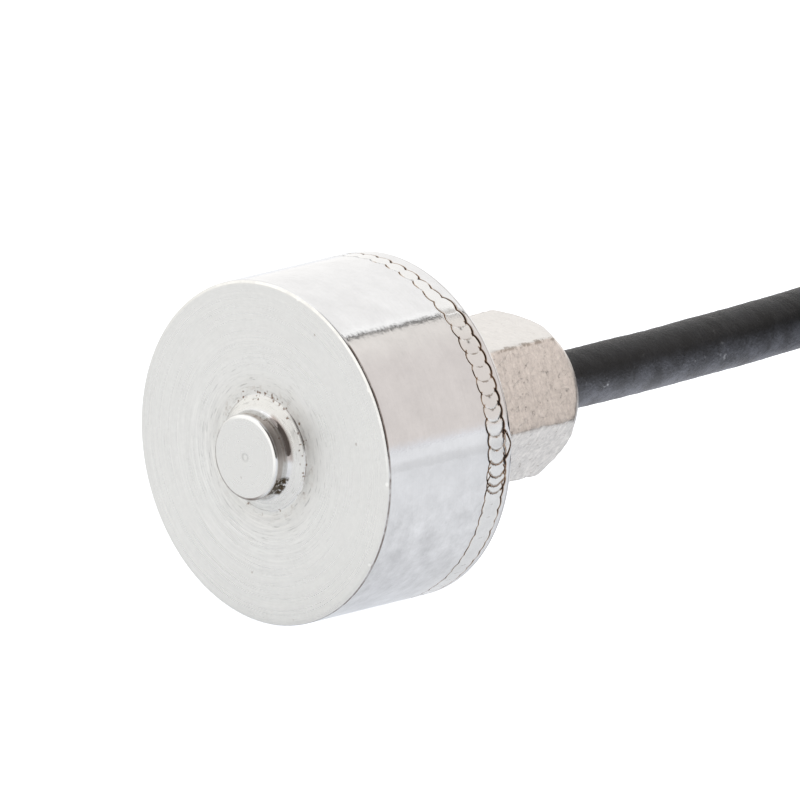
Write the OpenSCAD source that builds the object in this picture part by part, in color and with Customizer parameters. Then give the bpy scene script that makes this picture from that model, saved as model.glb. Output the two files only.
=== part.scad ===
// Button load cell: a turned steel cup with a load button on its sensing face, a rear cover held
// by a spot-weld bead, a hexagon cable gland and a thin four-core lead wound into a tied coil.
// Millimetres, +Z up. The load axis lies along Y, the button faces -Y and the lead leaves to +Y.

/* [Body] */
// Outside diameter of the body
body_d = 12; // [11:0.25:16]
// Length from the rear seat to the sensing face
body_len = 6; // [5.5:0.25:9]
// Wall round the cover's spigot
wall_t = 1.2; // [1:0.1:1.4]
// Width of the ledge that the terminal board sits on
ledge_w = 0.6; // [0.4:0.1:0.8]
// Thickness of the sensing diaphragm
web_t = 0.9; // [0.6:0.1:1.2]
// Diameter of the stiff hub behind the button
hub_d = 3.2; // [2.6:0.1:3.4]
// Length of that hub inside the chamber
hub_h = 0.5; // [0.2:0.1:0.8]
// Radius on the outer edges
edge_r = 0.15; // [0.05:0.05:0.2]

/* [Button] */
// Diameter of the load button
button_d = 3; // [2.4:0.1:3.6]
// Height of the button above the sensing face
button_h = 0.92; // [0.8:0.02:1.4]
// Radius on the button's rim
button_edge_r = 0.1; // [0.02:0.02:0.12]
// Width of the sloping ring round the button's root
root_w = 0.52; // [0.4:0.02:0.7]
// Height of that ring at the button's wall
root_h = 0.32; // [0.2:0.02:0.4]
// Radius of the fillet between the ring and the button
root_fillet_r = 0.28; // [0.1:0.02:0.3]
// Diameter of the pip that the turning tool left on the button
pip_d = 0.34; // [0.2:0.02:0.6]
// Depth of that pip
pip_h = 0.03; // [0.02:0.01:0.06]

/* [Cover and weld] */
// Thickness of the cover's flange, which is also the height of the weld seam
cover_t = 0.76; // [0.7:0.02:1.2]
// Length of the cover's spigot, which clamps the board
spigot_len = 0.9; // [0.8:0.05:1.2]
// Wall of the spigot
spigot_w = 0.9; // [0.7:0.1:1.1]
// Width of the weld groove at the surface
groove_w = 1; // [0.94:0.02:1]
// Depth of the weld groove
groove_h = 0.36; // [0.2:0.02:0.5]
// Number of weld spots round the seam
weld_spots = 72; // [48:1:80]
// Radius of one weld spot
spot_r = 0.42; // [0.36:0.02:0.44]
// Depth of the undercut along the wavy edge of the bead
weld_dip = 0.035; // [0.01:0.005:0.05]
// Height of the step from one weld spot to the next
weld_step = 0.02; // [0.005:0.005:0.03]
// Depth of the relief in the cover's rear face that the gland seats in
relief_h = 0.1; // [0.05:0.05:0.2]
// Room round the gland's corners in that relief
relief_room = 0.3; // [0.2:0.05:0.5]

/* [Gland] */
// Size across the flats of the hexagon
hex_af = 5.15; // [4.8:0.05:6]
// Length of the gland behind the cover
gland_len = 7; // [6:0.25:9]
// Angle of the hexagon about the load axis
hex_turn = -9.2; // [-30:0.1:30]
// Diameter of the flat at the outer end
hex_end_d = 4.5; // [4:0.1:4.6]
// Length of the end chamfer
hex_chamfer = 0.9; // [0.4:0.05:1.2]
// Diameter of the gland's spigot through the cover
gland_spigot_d = 3.8; // [3.6:0.1:4.2]
// How far that spigot stands inside the cover
gland_proud = 0.16; // [0.1:0.02:0.2]
// Diameter of the potting chamber
pot_d = 2.9; // [2.7:0.05:3.1]
// Depth of the potting chamber below the cover's outside
pot_depth = 3; // [2.4:0.1:4]
// Length of the crimp ring
crimp_len = 1.2; // [0.8:0.1:1.6]

/* [Sensing parts] */
// Thickness of the terminal board
board_t = 0.5; // [0.4:0.05:0.6]
// Length of one gauge carrier along the radius
gauge_len = 1.9; // [1.6:0.05:2]
// Width of one gauge carrier
gauge_w = 1.3; // [1.1:0.05:1.4]
// Thickness of the gauge carrier
film_t = 0.06; // [0.05:0.01:0.1]
// Thickness of the gauge foil
foil_t = 0.04; // [0.03:0.01:0.06]
// Strands in one gauge grid
strands = 5; // [3:2:5]
// Width of one strand
strand_w = 0.09; // [0.06:0.01:0.1]
// Side of a gauge's square solder tab
tab_w = 0.4; // [0.3:0.02:0.4]
// Bare margin of the carrier round the grid and the tabs
film_edge = 0.11; // [0.1:0.01:0.14]
// Gap between the grid and the tabs
tab_gap = 0.23; // [0.15:0.01:0.25]
// Diameter of a jumper wire
jumper_d = 0.14; // [0.1:0.02:0.2]
// Length of a trim resistor
chip_len = 1; // [0.8:0.1:1.2]
// Width of a trim resistor
chip_w = 0.5; // [0.4:0.05:0.6]
// Height of a trim resistor
chip_h = 0.35; // [0.25:0.05:0.45]
// Distance of the trim resistors from the axis
chip_r = 2.3; // [2:0.1:2.5]
// Diameter of a solder joint
solder_d = 0.9; // [0.7:0.05:1]
// Distance of the solder joints from the axis
solder_r = 2.6; // [2.4:0.05:2.8]
// Height of a solder joint
solder_h = 0.34; // [0.3:0.02:0.4]

/* [Lead] */
// Diameter of the lead's jacket
cable_d = 2.05; // [1.9:0.05:2.2]
// Diameter of one insulated core
core_d = 0.5; // [0.4:0.02:0.52]
// Gap between neighbouring cores, where the jacket ends
core_gap = 0.1; // [0.08:0.02:0.14]
// Clearance of the jacket in the gland's bore
bore_clear = 0.05; // [0.02:0.01:0.1]
// Chamfer at the mouth of that bore
bore_break = 0.1; // [0.05:0.05:0.2]
// Radius of the innermost turn of the coil
turn_r = 8; // [7:0.5:9]
// Turns side by side in the bottom layer
turns_across = 4; // [3:1:4]
// Layers of turns
turn_layers = 4; // [2:2:4]
// Width of the tie
tie_w = 2; // [1.6:0.1:3]
// Room round the lead where it comes into the coil
entry_room = 0.6; // [0.55:0.05:0.8]
// Thickness of the tie
tie_t = 0.4; // [0.3:0.05:0.6]
// Angle of the tie round the coil
tie_turn = -35; // [-60:1:20]
// Length of the tie's head
tie_head_l = 3; // [2.4:0.2:4]
// Height of that head
tie_head_h = 1.6; // [1.2:0.1:2]
// How far the head stands past the strap on each side
tie_lip = 0.4; // [0.3:0.1:0.6]
// Distance of the coil's middle beside the load axis
coil_x = 12; // [11:0.5:14]
// Distance of the coil's middle behind the middle of the cell
coil_y = 30.5; // [30:0.5:36]
// Length of the core ends past the jacket
free_l = 16; // [12:0.5:18]
// Spacing of the core ends on the floor
free_pitch = 1.1; // [1:0.05:1.2]
// How far the core ends bend aside
free_bend = 3.8; // [2:0.1:4]
// How much more each next core end bends
free_fan = 0.95; // [0.5:0.05:1]

/* [Fits] */
// Slide-in clearance between turned pieces, on each side
fit_gap = 0.02; // [0.01:0.01:0.04]
// Clearance of the tie round the coil
tie_gap = 0.12; // [0.1:0.02:0.2]
// Bond line between glued pieces
bond_gap = 0.01; // [0.005:0.005:0.02]

/* [Hidden] */
$fn = 64;
// How far a cutting shape runs past the piece
cut = 1;

// Turned sizes
body_r = body_d / 2;
axis_z = body_r;
seat_y = (body_len + button_h - gland_len) / 2;
button_r = button_d / 2;
spigot_bore_r = body_r - wall_t;
chamber_r = spigot_bore_r - ledge_w;
board_z = cover_t + spigot_len;
ledge_z = board_z + board_t;
web_z = body_len - web_t;
root_slope = atan(root_h / root_w);
fillet_z = root_h + root_fillet_r * (1 - sin(root_slope)) / cos(root_slope);

// Gland and lead sizes
hex_ac = hex_af / cos(30);
relief_r = hex_ac / 2 + relief_room;
lead_bore_d = cable_d + 2 * bore_clear;
jacket_z = crimp_len - pot_depth;
core_spread = (core_d + core_gap) / sqrt(2);
core_turns = [45, 135, 225, 315];
core_z = board_z - core_gap / 2 - core_d / 2;
solder_taper = 0.6;

// Gauge positions
gauge_r = (hub_d / 2 + chamber_r) / 2;
gauge_z = web_z - film_t;
foil_z = gauge_z - foil_t;
strand_pitch = (gauge_w - 2 * film_edge - 2 * strand_w) / (strands - 1);
fold_l = strand_w * 1.5;
grid_x = gauge_r - gauge_len / 2 + film_edge;
grid_len = gauge_len - 2 * film_edge - tab_w - tab_gap;
tab_x = gauge_r + gauge_len / 2 - film_edge - tab_w / 2;
tab_y = gauge_w / 2 - film_edge - tab_w / 2;

// Coil sizes
layer_h = cable_d * sin(60);
coil_out_r = turn_r + cable_d * (turns_across - 0.5);
coil_in_r = turn_r - cable_d / 2;
coil_h = cable_d + layer_h * (turn_layers - 1);
entry_r = turn_r + cable_d * (turns_across - 1.5);
entry_z = cable_d / 2 + layer_h * (turn_layers - 1);
entry_x = coil_x - entry_r;
free_r = coil_out_r - cable_d / 2;
free_from = 10;
free_span = 80;
end_gap = 3 * fit_gap;

// Route of the lead from the gland over to the coil's top turn, chosen points
lead_route = [[0, seat_y - jacket_z, axis_z], [0, seat_y + gland_len, axis_z], [0, 10, axis_z],
    [entry_x * 0.05, 13, axis_z], [entry_x * 0.2, 16, axis_z], [entry_x * 0.4, 19, axis_z],
    [entry_x * 0.6, 22, axis_z + 0.05], [entry_x * 0.85, 25, axis_z + 0.2], [entry_x, 28, entry_z],
    [entry_x, coil_y - end_gap, entry_z]];

function ease(t) = let (c = min(max(t, 0), 1)) c * c * (3 - 2 * c);
function mix(a, b, t) = a + (b - a) * t;

// Solid helpers

// Corner to take away for a rounded edge
module corner_round(r) {
    difference() {
        square(2 * r);
        circle(r);
    }
}

// Puts a piece drawn along the load axis in place
module on_axis() {
    translate([0, seat_y, axis_z]) rotate([90, 0, 0]) children();
}

function unit(v) = v / norm(v);
function way(p, i) = unit(p[min(i + 1, len(p) - 1)] - p[max(i - 1, 0)]);
function ring(p, i, r, n, ref) =
    let (t = way(p, i), s = unit(cross(t, ref)), u = cross(s, t))
    [for (k = [0 : n - 1]) p[i] + r * (cos(360 * k / n) * s + sin(360 * k / n) * u)];
function tube_sides(rings, n) =
    [for (i = [0 : rings - 2], k = [0 : n - 1], h = [0, 1])
        let (a = i * n + k, b = i * n + (k + 1) % n)
        h == 0 ? [a, b, b + n] : [a, b + n, a + n]];

// Tube with flat ends swept along points, ref lies across the bend
module tube(path, d, ref, n = 8) {
    last = (len(path) - 1) * n;
    polyhedron(
        points = [for (i = [0 : len(path) - 1]) each ring(path, i, d / 2, n, ref)],
        faces = concat([[for (k = [n - 1 : -1 : 0]) k]], tube_sides(len(path), n),
            [[for (k = [0 : n - 1]) last + k]]));
}

// Body

// Half outline of the button with its sloping root and fillet, standing on the sensing face
module button_outline() {
    foot_x = button_r + root_fillet_r * (1 - sin(root_slope));
    foot_z = fillet_z - root_fillet_r * cos(root_slope);
    difference() {
        union() {
            translate([0, -web_t / 2]) square([button_r, button_h + web_t / 2]);
            polygon([[0, -web_t / 2], [button_r + root_w, -web_t / 2], [button_r + root_w, 0],
                [button_r, root_h], [0, root_h]]);
            difference() {
                polygon([[button_r / 2, 0], [foot_x, 0], [foot_x, foot_z],
                    [button_r + root_fillet_r, fillet_z], [button_r / 2, fillet_z]]);
                translate([button_r + root_fillet_r, fillet_z]) circle(root_fillet_r);
            }
        }
        translate([button_r - button_edge_r, button_h - button_edge_r]) corner_round(button_edge_r);
        translate([0, button_h - pip_h]) polygon([[0, 0], [pip_d / 2, pip_h], [pip_d / 2, cut], [0, cut]]);
    }
}

module body() {
    color("silver") on_axis() rotate_extrude() {
        difference() {
            translate([0, cover_t]) square([body_r, body_len - cover_t]);
            translate([0, cover_t - cut]) square([spigot_bore_r, ledge_z - cover_t + cut]);
            translate([0, ledge_z - cut]) square([chamber_r, web_z - ledge_z + cut]);
            translate([body_r - edge_r, body_len - edge_r]) corner_round(edge_r);
            weld_groove_outline();
        }
        translate([0, web_z - hub_h]) square([hub_d / 2, hub_h + web_t / 2]);
        translate([0, body_len]) button_outline();
    }
}

// Cover and weld

// Vee that the body and the cover share at the seam
module weld_groove_outline() {
    polygon([[body_r - groove_h, cover_t], [body_r, cover_t - groove_w / 2],
        [body_r + cut, cover_t - groove_w / 2], [body_r + cut, cover_t + groove_w / 2],
        [body_r, cover_t + groove_w / 2]]);
}

module rear_cover() {
    color("silver") on_axis() rotate_extrude() difference() {
        union() {
            square([body_r, cover_t]);
            square([spigot_bore_r - fit_gap, board_z]);
        }
        translate([0, cover_t]) square([spigot_bore_r - fit_gap - spigot_w, spigot_len + cut]);
        translate([0, -cut]) square([gland_spigot_d / 2 + fit_gap, cover_t + 2 * cut]);
        translate([0, -cut]) square([relief_r, relief_h + cut]);
        translate([body_r - edge_r, edge_r]) rotate([0, 0, -90]) corner_round(edge_r);
        weld_groove_outline();
    }
}

// Weld bead as a row of overlapping spots: every spot starts with a step, slopes off round the seam
// and is bounded by an undercut that follows its round edge
spot_parts = 4;
weld_stations = weld_spots * spot_parts;
spot_pitch = PI * body_d / weld_spots;
function spot_phase(i) = (i % spot_parts) / spot_parts;
function spot_half(i) = sqrt(pow(spot_r, 2) - pow(spot_pitch * (spot_phase(i) - 0.5), 2));
function bead_at(i) =
    let (a = 360 * i / weld_stations, w = spot_half(i), top = body_r - weld_step * spot_phase(i))
    [for (q = [[body_r - bond_gap, -groove_w / 2 + 3 * bond_gap], [body_r - weld_dip, -w], [top, -w / 2],
            [top, w / 2], [body_r - weld_dip, w], [body_r - bond_gap, groove_w / 2 - 3 * bond_gap],
            [body_r - groove_h + 2 * bond_gap, 0]])
        [q[0] * cos(a), q[0] * sin(a), cover_t + q[1]]];

module weld_bead() {
    n = 7;
    color("tan") on_axis() polyhedron(
        points = [for (i = [0 : weld_stations - 1]) each bead_at(i)],
        faces = [for (i = [0 : weld_stations - 1], k = [0 : n - 1], h = [0, 1])
            let (j = (i + 1) % weld_stations, m = (k + 1) % n)
            h == 0 ? [i * n + k, i * n + m, j * n + m] : [i * n + k, j * n + m, j * n + k]]);
}

// Gland

module cable_gland() {
    color("lightgray") on_axis() difference() {
        union() {
            intersection() {
                translate([0, 0, -gland_len]) rotate([0, 0, hex_turn])
                    cylinder(h = gland_len + relief_h, d = hex_ac, $fn = 6);
                translate([0, 0, -gland_len]) rotate_extrude()
                    polygon([[0, 0], [hex_end_d / 2, 0],
                        [hex_ac / 2, hex_chamfer], [hex_ac, hex_chamfer],
                        [hex_ac, gland_len + relief_h], [0, gland_len + relief_h]]);
            }
            cylinder(h = cover_t + gland_proud, d = gland_spigot_d);
        }
        translate([0, 0, -gland_len - cut]) cylinder(h = gland_len + 2 * cut, d = lead_bore_d);
        translate([0, 0, -gland_len])
            cylinder(h = bore_break, d1 = lead_bore_d + 2 * bore_break, d2 = lead_bore_d);
        translate([0, 0, -pot_depth]) cylinder(h = pot_depth + cover_t + 2 * cut, d = pot_d);
    }
}

module potting_plug() {
    plug_h = cover_t + gland_proud - jacket_z;
    color("dimgray") on_axis() translate([0, 0, jacket_z]) difference() {
        cylinder(h = plug_h, d = pot_d - 2 * bond_gap);
        for (a = core_turns)
            rotate([0, 0, a]) translate([core_spread, 0, -cut])
                cylinder(h = plug_h + 2 * cut, d = core_d + 2 * bond_gap);
    }
}

module crimp_ring() {
    color("goldenrod") on_axis() translate([0, 0, -pot_depth]) difference() {
        cylinder(h = crimp_len, d = pot_d - 2 * bond_gap);
        translate([0, 0, -cut]) cylinder(h = crimp_len + 2 * cut, d = cable_d + 2 * bond_gap);
    }
}

// Sensing parts

module terminal_board() {
    color("darkgreen") on_axis() translate([0, 0, board_z])
        cylinder(h = board_t, r = spigot_bore_r - fit_gap);
}

// Chip resistor on the board's inner side at one angle
module chip(turn) {
    color("black") on_axis() rotate([0, 0, turn])
        translate([chip_r - chip_w / 2, -chip_len / 2, ledge_z]) cube([chip_w, chip_len, chip_h]);
}

module zero_trim_resistor() {
    chip(45);
}

module span_trim_resistor() {
    chip(135);
}

module tempco_resistor() {
    chip(225);
}

module solder_joints() {
    color("gainsboro") on_axis() for (a = core_turns)
        rotate([0, 0, a]) translate([solder_r, 0, board_z - solder_h])
            cylinder(h = solder_h, d1 = solder_d * solder_taper, d2 = solder_d);
}

// Carrier of one strain gauge, bonded to the diaphragm
module gauge_film(turn) {
    color("peru") on_axis() rotate([0, 0, turn])
        translate([gauge_r - gauge_len / 2, -gauge_w / 2, gauge_z]) cube([gauge_len, gauge_w, film_t]);
}

module gauge_film_1() {
    gauge_film(0);
}

module gauge_film_2() {
    gauge_film(90);
}

module gauge_film_3() {
    gauge_film(180);
}

module gauge_film_4() {
    gauge_film(270);
}

// Foil grid of one gauge: strands folded back and forth between two tabs
module gauge_grid(turn) {
    first_y = -strand_pitch * (strands - 1) / 2;
    color("chocolate") on_axis() rotate([0, 0, turn]) translate([0, 0, foil_z]) {
        for (i = [0 : strands - 1])
            translate([grid_x, first_y + strand_pitch * i - strand_w / 2, 0])
                cube([grid_len, strand_w, foil_t]);
        for (i = [0 : strands - 2])
            translate([i % 2 == 0 ? grid_x : grid_x + grid_len - fold_l,
                first_y + strand_pitch * i - strand_w / 2, 0])
                cube([fold_l, strand_pitch + strand_w, foil_t]);
        for (s = [-1, 1]) {
            translate([tab_x - tab_w / 2, s * tab_y - tab_w / 2, 0]) cube([tab_w, tab_w, foil_t]);
            translate([grid_x + grid_len - strand_w, -s * first_y - strand_w / 2, 0])
                cube([tab_x - grid_x - grid_len + strand_w, strand_w, foil_t]);
        }
    }
}

module gauge_grid_1() {
    gauge_grid(0);
}

module gauge_grid_2() {
    gauge_grid(90);
}

module gauge_grid_3() {
    gauge_grid(180);
}

module gauge_grid_4() {
    gauge_grid(270);
}

module jumper_wires() {
    color("orangered") on_axis() for (a = [0 : 90 : 270], s = [-1, 1])
        rotate([0, 0, a]) translate([tab_x, s * tab_y, ledge_z])
            cylinder(h = foil_z - ledge_z, d = jumper_d);
}

// One insulated core from the jacket's end to its solder joint, along chosen points
module core(turn) {
    end_r = solder_r - solder_d / 2 - bond_gap;
    bend = core_z - cover_t - gland_proud;
    path = [[core_spread, 0, jacket_z], [core_spread, 0, cover_t + gland_proud + 0.05],
        [core_spread + 0.1, 0, core_z - bend * 0.35], [core_spread + 0.36, 0, core_z - bend * 0.05],
        [core_spread + 0.75, 0, core_z], [end_r, 0, core_z]];
    on_axis() rotate([0, 0, turn]) tube(path, core_d, [0, 1, 0]);
}

module core_red() {
    color("red") core(core_turns[0]);
}

module core_black() {
    color("black") core(core_turns[1]);
}

module core_green() {
    color("green") core(core_turns[2]);
}

module core_white() {
    color("white") core(core_turns[3]);
}

// Lead, coil and tie

module cable_lead() {
    color("dimgray") tube(lead_route, cable_d, [0, 0, 1]);
}

// Bounding form of the wound turns, open where the lead comes in and where the cores leave
module cable_coil() {
    top_in = coil_in_r + cable_d / 2;
    top_out = coil_out_r - cable_d / 2;
    step_z = coil_h - layer_h;
    foot = cable_d / 4;
    color("dimgray") translate([coil_x, coil_y, 0]) difference() {
        rotate_extrude() polygon([[coil_in_r + foot, 0], [coil_out_r - foot, 0], [coil_out_r, foot],
            [coil_out_r, step_z], [top_out, coil_h], [top_in, coil_h], [coil_in_r, step_z],
            [coil_in_r, foot]]);
        translate([-entry_r - 2 * cable_d, -coil_out_r, entry_z - cable_d / 2 - entry_room])
            cube([2.5 * cable_d + entry_room, coil_out_r, coil_h]);
        rotate([0, 0, free_from]) rotate_extrude(angle = free_span)
            translate([coil_out_r - cable_d, -cut]) square([2 * cable_d, cable_d + cut]);
        rotate([0, 0, tie_turn]) translate([0, -tie_w / 2 - tie_gap, -cut])
            cube([2 * coil_out_r, tie_w + 2 * tie_gap, tie_t + fit_gap + cut]);
    }
}

// Rounded rectangle with one corner at the origin
module round_rect(w, h, r) {
    translate([r, 0]) square([w - 2 * r, h]);
    translate([0, r]) square([w, h - 2 * r]);
    for (x = [r, w - r], y = [r, h - r]) translate([x, y]) circle(r);
}

module cable_tie() {
    w = coil_out_r - coil_in_r + 2 * tie_gap;
    h = coil_h - tie_t + tie_gap;
    color("whitesmoke") translate([coil_x, coil_y, 0]) rotate([0, 0, tie_turn])
        translate([coil_in_r - tie_gap - tie_t, tie_w / 2, 0]) rotate([90, 0, 0]) {
            linear_extrude(tie_w) difference() {
                round_rect(w + 2 * tie_t, h + 2 * tie_t, 2 * tie_t);
                translate([tie_t, tie_t]) round_rect(w, h, tie_t / 3);
            }
            translate([w / 2, h + 1.5 * tie_t, -tie_lip])
                cube([tie_head_l, tie_head_h, tie_w + 2 * tie_lip]);
        }
}

// One core end at the far end of the jacket: it leaves the jacket beside the other three, drops to
// the floor in its own lane and bends aside. Side and up are its place in the jacket, lane its order.
free_parts = 10;
drop_share = 0.4;
module core_end(side, up, lane) {
    half = (core_d + core_gap) / 2;
    start = [coil_x + end_gap, coil_y + free_r + side * half, cable_d / 2 + up * half];
    path = [for (i = [0 : free_parts])
        let (s = i / free_parts, d = ease(s / drop_share))
        [start[0] + free_l * s,
            mix(start[1], coil_y + free_r + lane * free_pitch, d) - pow(s, 3) * (free_bend - lane * free_fan),
            mix(start[2], core_d / 2, d)]];
    tube(path, core_d, [0, 0, 1]);
}

module lead_red() {
    color("red") core_end(1, 1, 1.5);
}

module lead_black() {
    color("black") core_end(-1, 1, -1.5);
}

module lead_green() {
    color("green") core_end(1, -1, 0.5);
}

module lead_white() {
    color("white") core_end(-1, -1, -0.5);
}

body();
rear_cover();
weld_bead();
cable_gland();
potting_plug();
crimp_ring();
terminal_board();
zero_trim_resistor();
span_trim_resistor();
tempco_resistor();
solder_joints();
gauge_film_1();
gauge_film_2();
gauge_film_3();
gauge_film_4();
gauge_grid_1();
gauge_grid_2();
gauge_grid_3();
gauge_grid_4();
jumper_wires();
core_red();
core_black();
core_green();
core_white();
cable_lead();
cable_coil();
cable_tie();
lead_red();
lead_black();
lead_green();
lead_white();
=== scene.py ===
import math
from math import cos, pi, radians, sin

import bmesh
import bpy
import numpy as np
from mathutils import Euler, Matrix, Vector


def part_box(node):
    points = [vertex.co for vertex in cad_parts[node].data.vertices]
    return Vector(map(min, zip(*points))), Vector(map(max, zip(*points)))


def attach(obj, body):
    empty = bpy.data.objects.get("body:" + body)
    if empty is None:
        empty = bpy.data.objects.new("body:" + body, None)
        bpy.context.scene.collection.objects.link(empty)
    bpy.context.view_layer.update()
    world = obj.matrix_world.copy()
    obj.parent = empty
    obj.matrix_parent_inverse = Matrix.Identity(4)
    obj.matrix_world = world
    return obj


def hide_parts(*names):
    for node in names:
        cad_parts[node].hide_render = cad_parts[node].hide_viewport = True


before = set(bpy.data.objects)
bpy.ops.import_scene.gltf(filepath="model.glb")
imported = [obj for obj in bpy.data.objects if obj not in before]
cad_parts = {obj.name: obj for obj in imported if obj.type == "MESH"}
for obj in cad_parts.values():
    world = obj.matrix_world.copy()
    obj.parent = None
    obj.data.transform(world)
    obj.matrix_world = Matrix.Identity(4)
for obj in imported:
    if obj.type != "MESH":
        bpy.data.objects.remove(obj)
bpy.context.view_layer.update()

MM = 0.001

# Sizes in millimetres, taken from the frame where a node's box gives them
SEAT_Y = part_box("rear_cover")[1].y / MM
SEAM_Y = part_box("body")[1].y / MM
BODY_R = (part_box("body")[1].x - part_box("body")[0].x) / 2 / MM
AXIS_Z = (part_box("body")[1].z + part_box("body")[0].z) / 2 / MM
TIP_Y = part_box("body")[0].y / MM
GLAND_END_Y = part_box("cable_gland")[1].y / MM
CABLE_D = 2.05
CORE_D = 0.5
CORE_GAP = 0.1

# Body and button
BUTTON_H = 0.92
BUTTON_R = 1.5
BUTTON_EDGE = 0.1
PIP_R = 0.17
PIP_H = 0.03
ROOT_W = 0.52
ROOT_H = 0.32
ROOT_FILLET = 0.28
ROOT_R = BUTTON_R + ROOT_W
FOOT_R = 0.022
FOOT_OUT = 0.02
FOOT_UP = 0.01
FACE_Z = SEAT_Y - TIP_Y - BUTTON_H
RIM_Y = SEAT_Y - FACE_Z
EDGE_R = 0.15
EDGE_DROP = 0.028
EDGE_SLOPE = radians(21)
EDGE_ROUND = 0.07
EDGE_FLAT_OUT = BODY_R - EDGE_ROUND * (1 - sin(EDGE_SLOPE))
EDGE_FLAT_IN = EDGE_FLAT_OUT - EDGE_DROP / math.tan(EDGE_SLOPE)
EDGE_H = EDGE_DROP + EDGE_ROUND * cos(EDGE_SLOPE)
WALL_T = 1.2
LEDGE_W = 0.6
WEB_T = 0.9
HUB_R = 1.6
HUB_H = 0.5

# Cover, seam and gland
COVER_T = SEAT_Y - SEAM_Y
SPIGOT_LEN = 0.9
SPIGOT_W = 0.9
BOARD_T = 0.5
FIT = 0.02
GROOVE_W = 1.0
GROOVE_H = 0.36
RELIEF_H = 0.1
RELIEF_ROOM = 0.3
HEX_AF = 5.15
HEX_CORNER = HEX_AF / 2 / cos(radians(30))
HEX_TURN = -9.2
HEX_END_R = 2.25
HEX_CHAMFER = 0.9
GLAND_SPIGOT_R = 1.9
GLAND_PROUD = 0.16
POT_R = 1.45
POT_DEPTH = 3.0
BORE_R = CABLE_D / 2 + 0.05
CRIMP_LEN = 1.2

# Coil and its tie
COIL_X = 12.0
COIL_Y = 30.5
TURN_R = 8.0
TURNS_ACROSS = 4
LAYERS = 4
LAYER_H = CABLE_D * sin(radians(60))
COIL_H = CABLE_D + LAYER_H * (LAYERS - 1)
COIL_OUT_R = TURN_R + CABLE_D * (TURNS_ACROSS - 0.5)
COIL_IN_R = TURN_R - CABLE_D / 2
ENTRY_R = TURN_R + CABLE_D * (TURNS_ACROSS - 1.5)
ENTRY_Z = CABLE_D / 2 + LAYER_H * (LAYERS - 1)
ENTRY_X = COIL_X - ENTRY_R
TIE_TURN = radians(-35)
TIE_W = 2.0
TIE_T = 0.4
TIE_GAP = 0.12

# Mesh helpers

WAVE_SPREAD = 1.7


def ease(t):
    """Smooth step from 0 to 1, held outside."""
    c = np.clip(t, 0, 1)
    return c * c * (3 - 2 * c)


def mix(a, b, t):
    return a + (b - a) * t


def waves(points, size, seed, count=9):
    """Smooth unit noise at points, from sine waves of about that size, the same each run."""
    rng = np.random.default_rng(seed)
    way = rng.normal(size=(count, points.shape[1])) * (2 * pi / size / WAVE_SPREAD)
    shift = rng.uniform(0, 2 * pi, count)
    return np.sin(points @ way.T + shift).sum(1) / math.sqrt(count / 2)


def new_object(name, data):
    """An object in the scene."""
    made = bpy.data.objects.new(name, data)
    bpy.context.scene.collection.objects.link(made)
    return made


def new_piece(name, shape, replaces=(), *, sharp):
    """A mesh piece that rides on the one body, from points in millimetres and faces."""
    points, faces = shape
    mesh = bpy.data.meshes.new(name)
    mesh.from_pydata((np.asarray(points) * MM).tolist(), [], faces)
    edit = bmesh.new()
    edit.from_mesh(mesh)
    bmesh.ops.recalc_face_normals(edit, faces=edit.faces)
    edit.to_mesh(mesh)
    edit.free()
    mesh.shade_smooth()
    mesh.set_sharp_from_angle(angle=radians(sharp))
    piece = new_object(name, mesh)
    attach(piece, "root")
    if replaces:
        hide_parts(*replaces)
    return piece


def arc(centre, radius, start, end, parts):
    """Points of an arc in the outline's plane, angles in degrees."""
    turn = np.radians(np.linspace(start, end, parts + 1))
    return [(centre[0] + radius * cos(a), centre[1] + radius * sin(a)) for a in turn]


def dense(outline, step):
    """The outline again with no straight run longer than step."""
    out = [outline[0]]
    for a, b in zip(outline, outline[1:]):
        n = max(1, math.ceil(math.dist(a, b) / step))
        out += [(mix(a[0], b[0], i / n), mix(a[1], b[1], i / n)) for i in range(1, n + 1)]
    return out


def round_axis(radius, a, y):
    """The point at a distance from the load axis, an angle round it and a place along it."""
    return (radius * cos(a), y, AXIS_Z + radius * sin(a))


def turned(outline, sides, closed):
    """Points and faces of an outline of (radius, height above the seat) turned about the load axis."""
    turn = np.linspace(0, 2 * pi, sides, endpoint=False)
    points, rings = [], []
    for r, h in outline:
        stations = turn if r else turn[:1]
        rings.append(range(len(points), len(points) + len(stations)))
        points += [round_axis(r, a, SEAT_Y - h) for a in stations]
    faces = []
    for a, b in zip(rings, rings[1:] + (rings[:1] if closed else [])):
        for i in range(sides):
            j = (i + 1) % sides
            corners = (a[i % len(a)], b[i % len(b)], b[j % len(b)], a[j % len(a)])
            faces.append(tuple(dict.fromkeys(corners)))
    return np.array(points), faces


def ring_faces(rings, sides, closed):
    """Faces between rings of points in a row; closed joins the last ring to the first."""
    faces = []
    for i in range(rings if closed else rings - 1):
        a = i * sides
        b = (i + 1) % rings * sides
        faces += [(a + k, a + (k + 1) % sides, b + (k + 1) % sides, b + k) for k in range(sides)]
    return faces


def sideways(path):
    """Unit vectors to the side of a path and over it, at each of its points."""
    way = np.gradient(path, axis=0)
    way /= np.linalg.norm(way, axis=1)[:, None]
    side = np.cross(way, (0, 0, 1))
    side /= np.linalg.norm(side, axis=1)[:, None]
    return side, np.cross(side, way)


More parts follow.
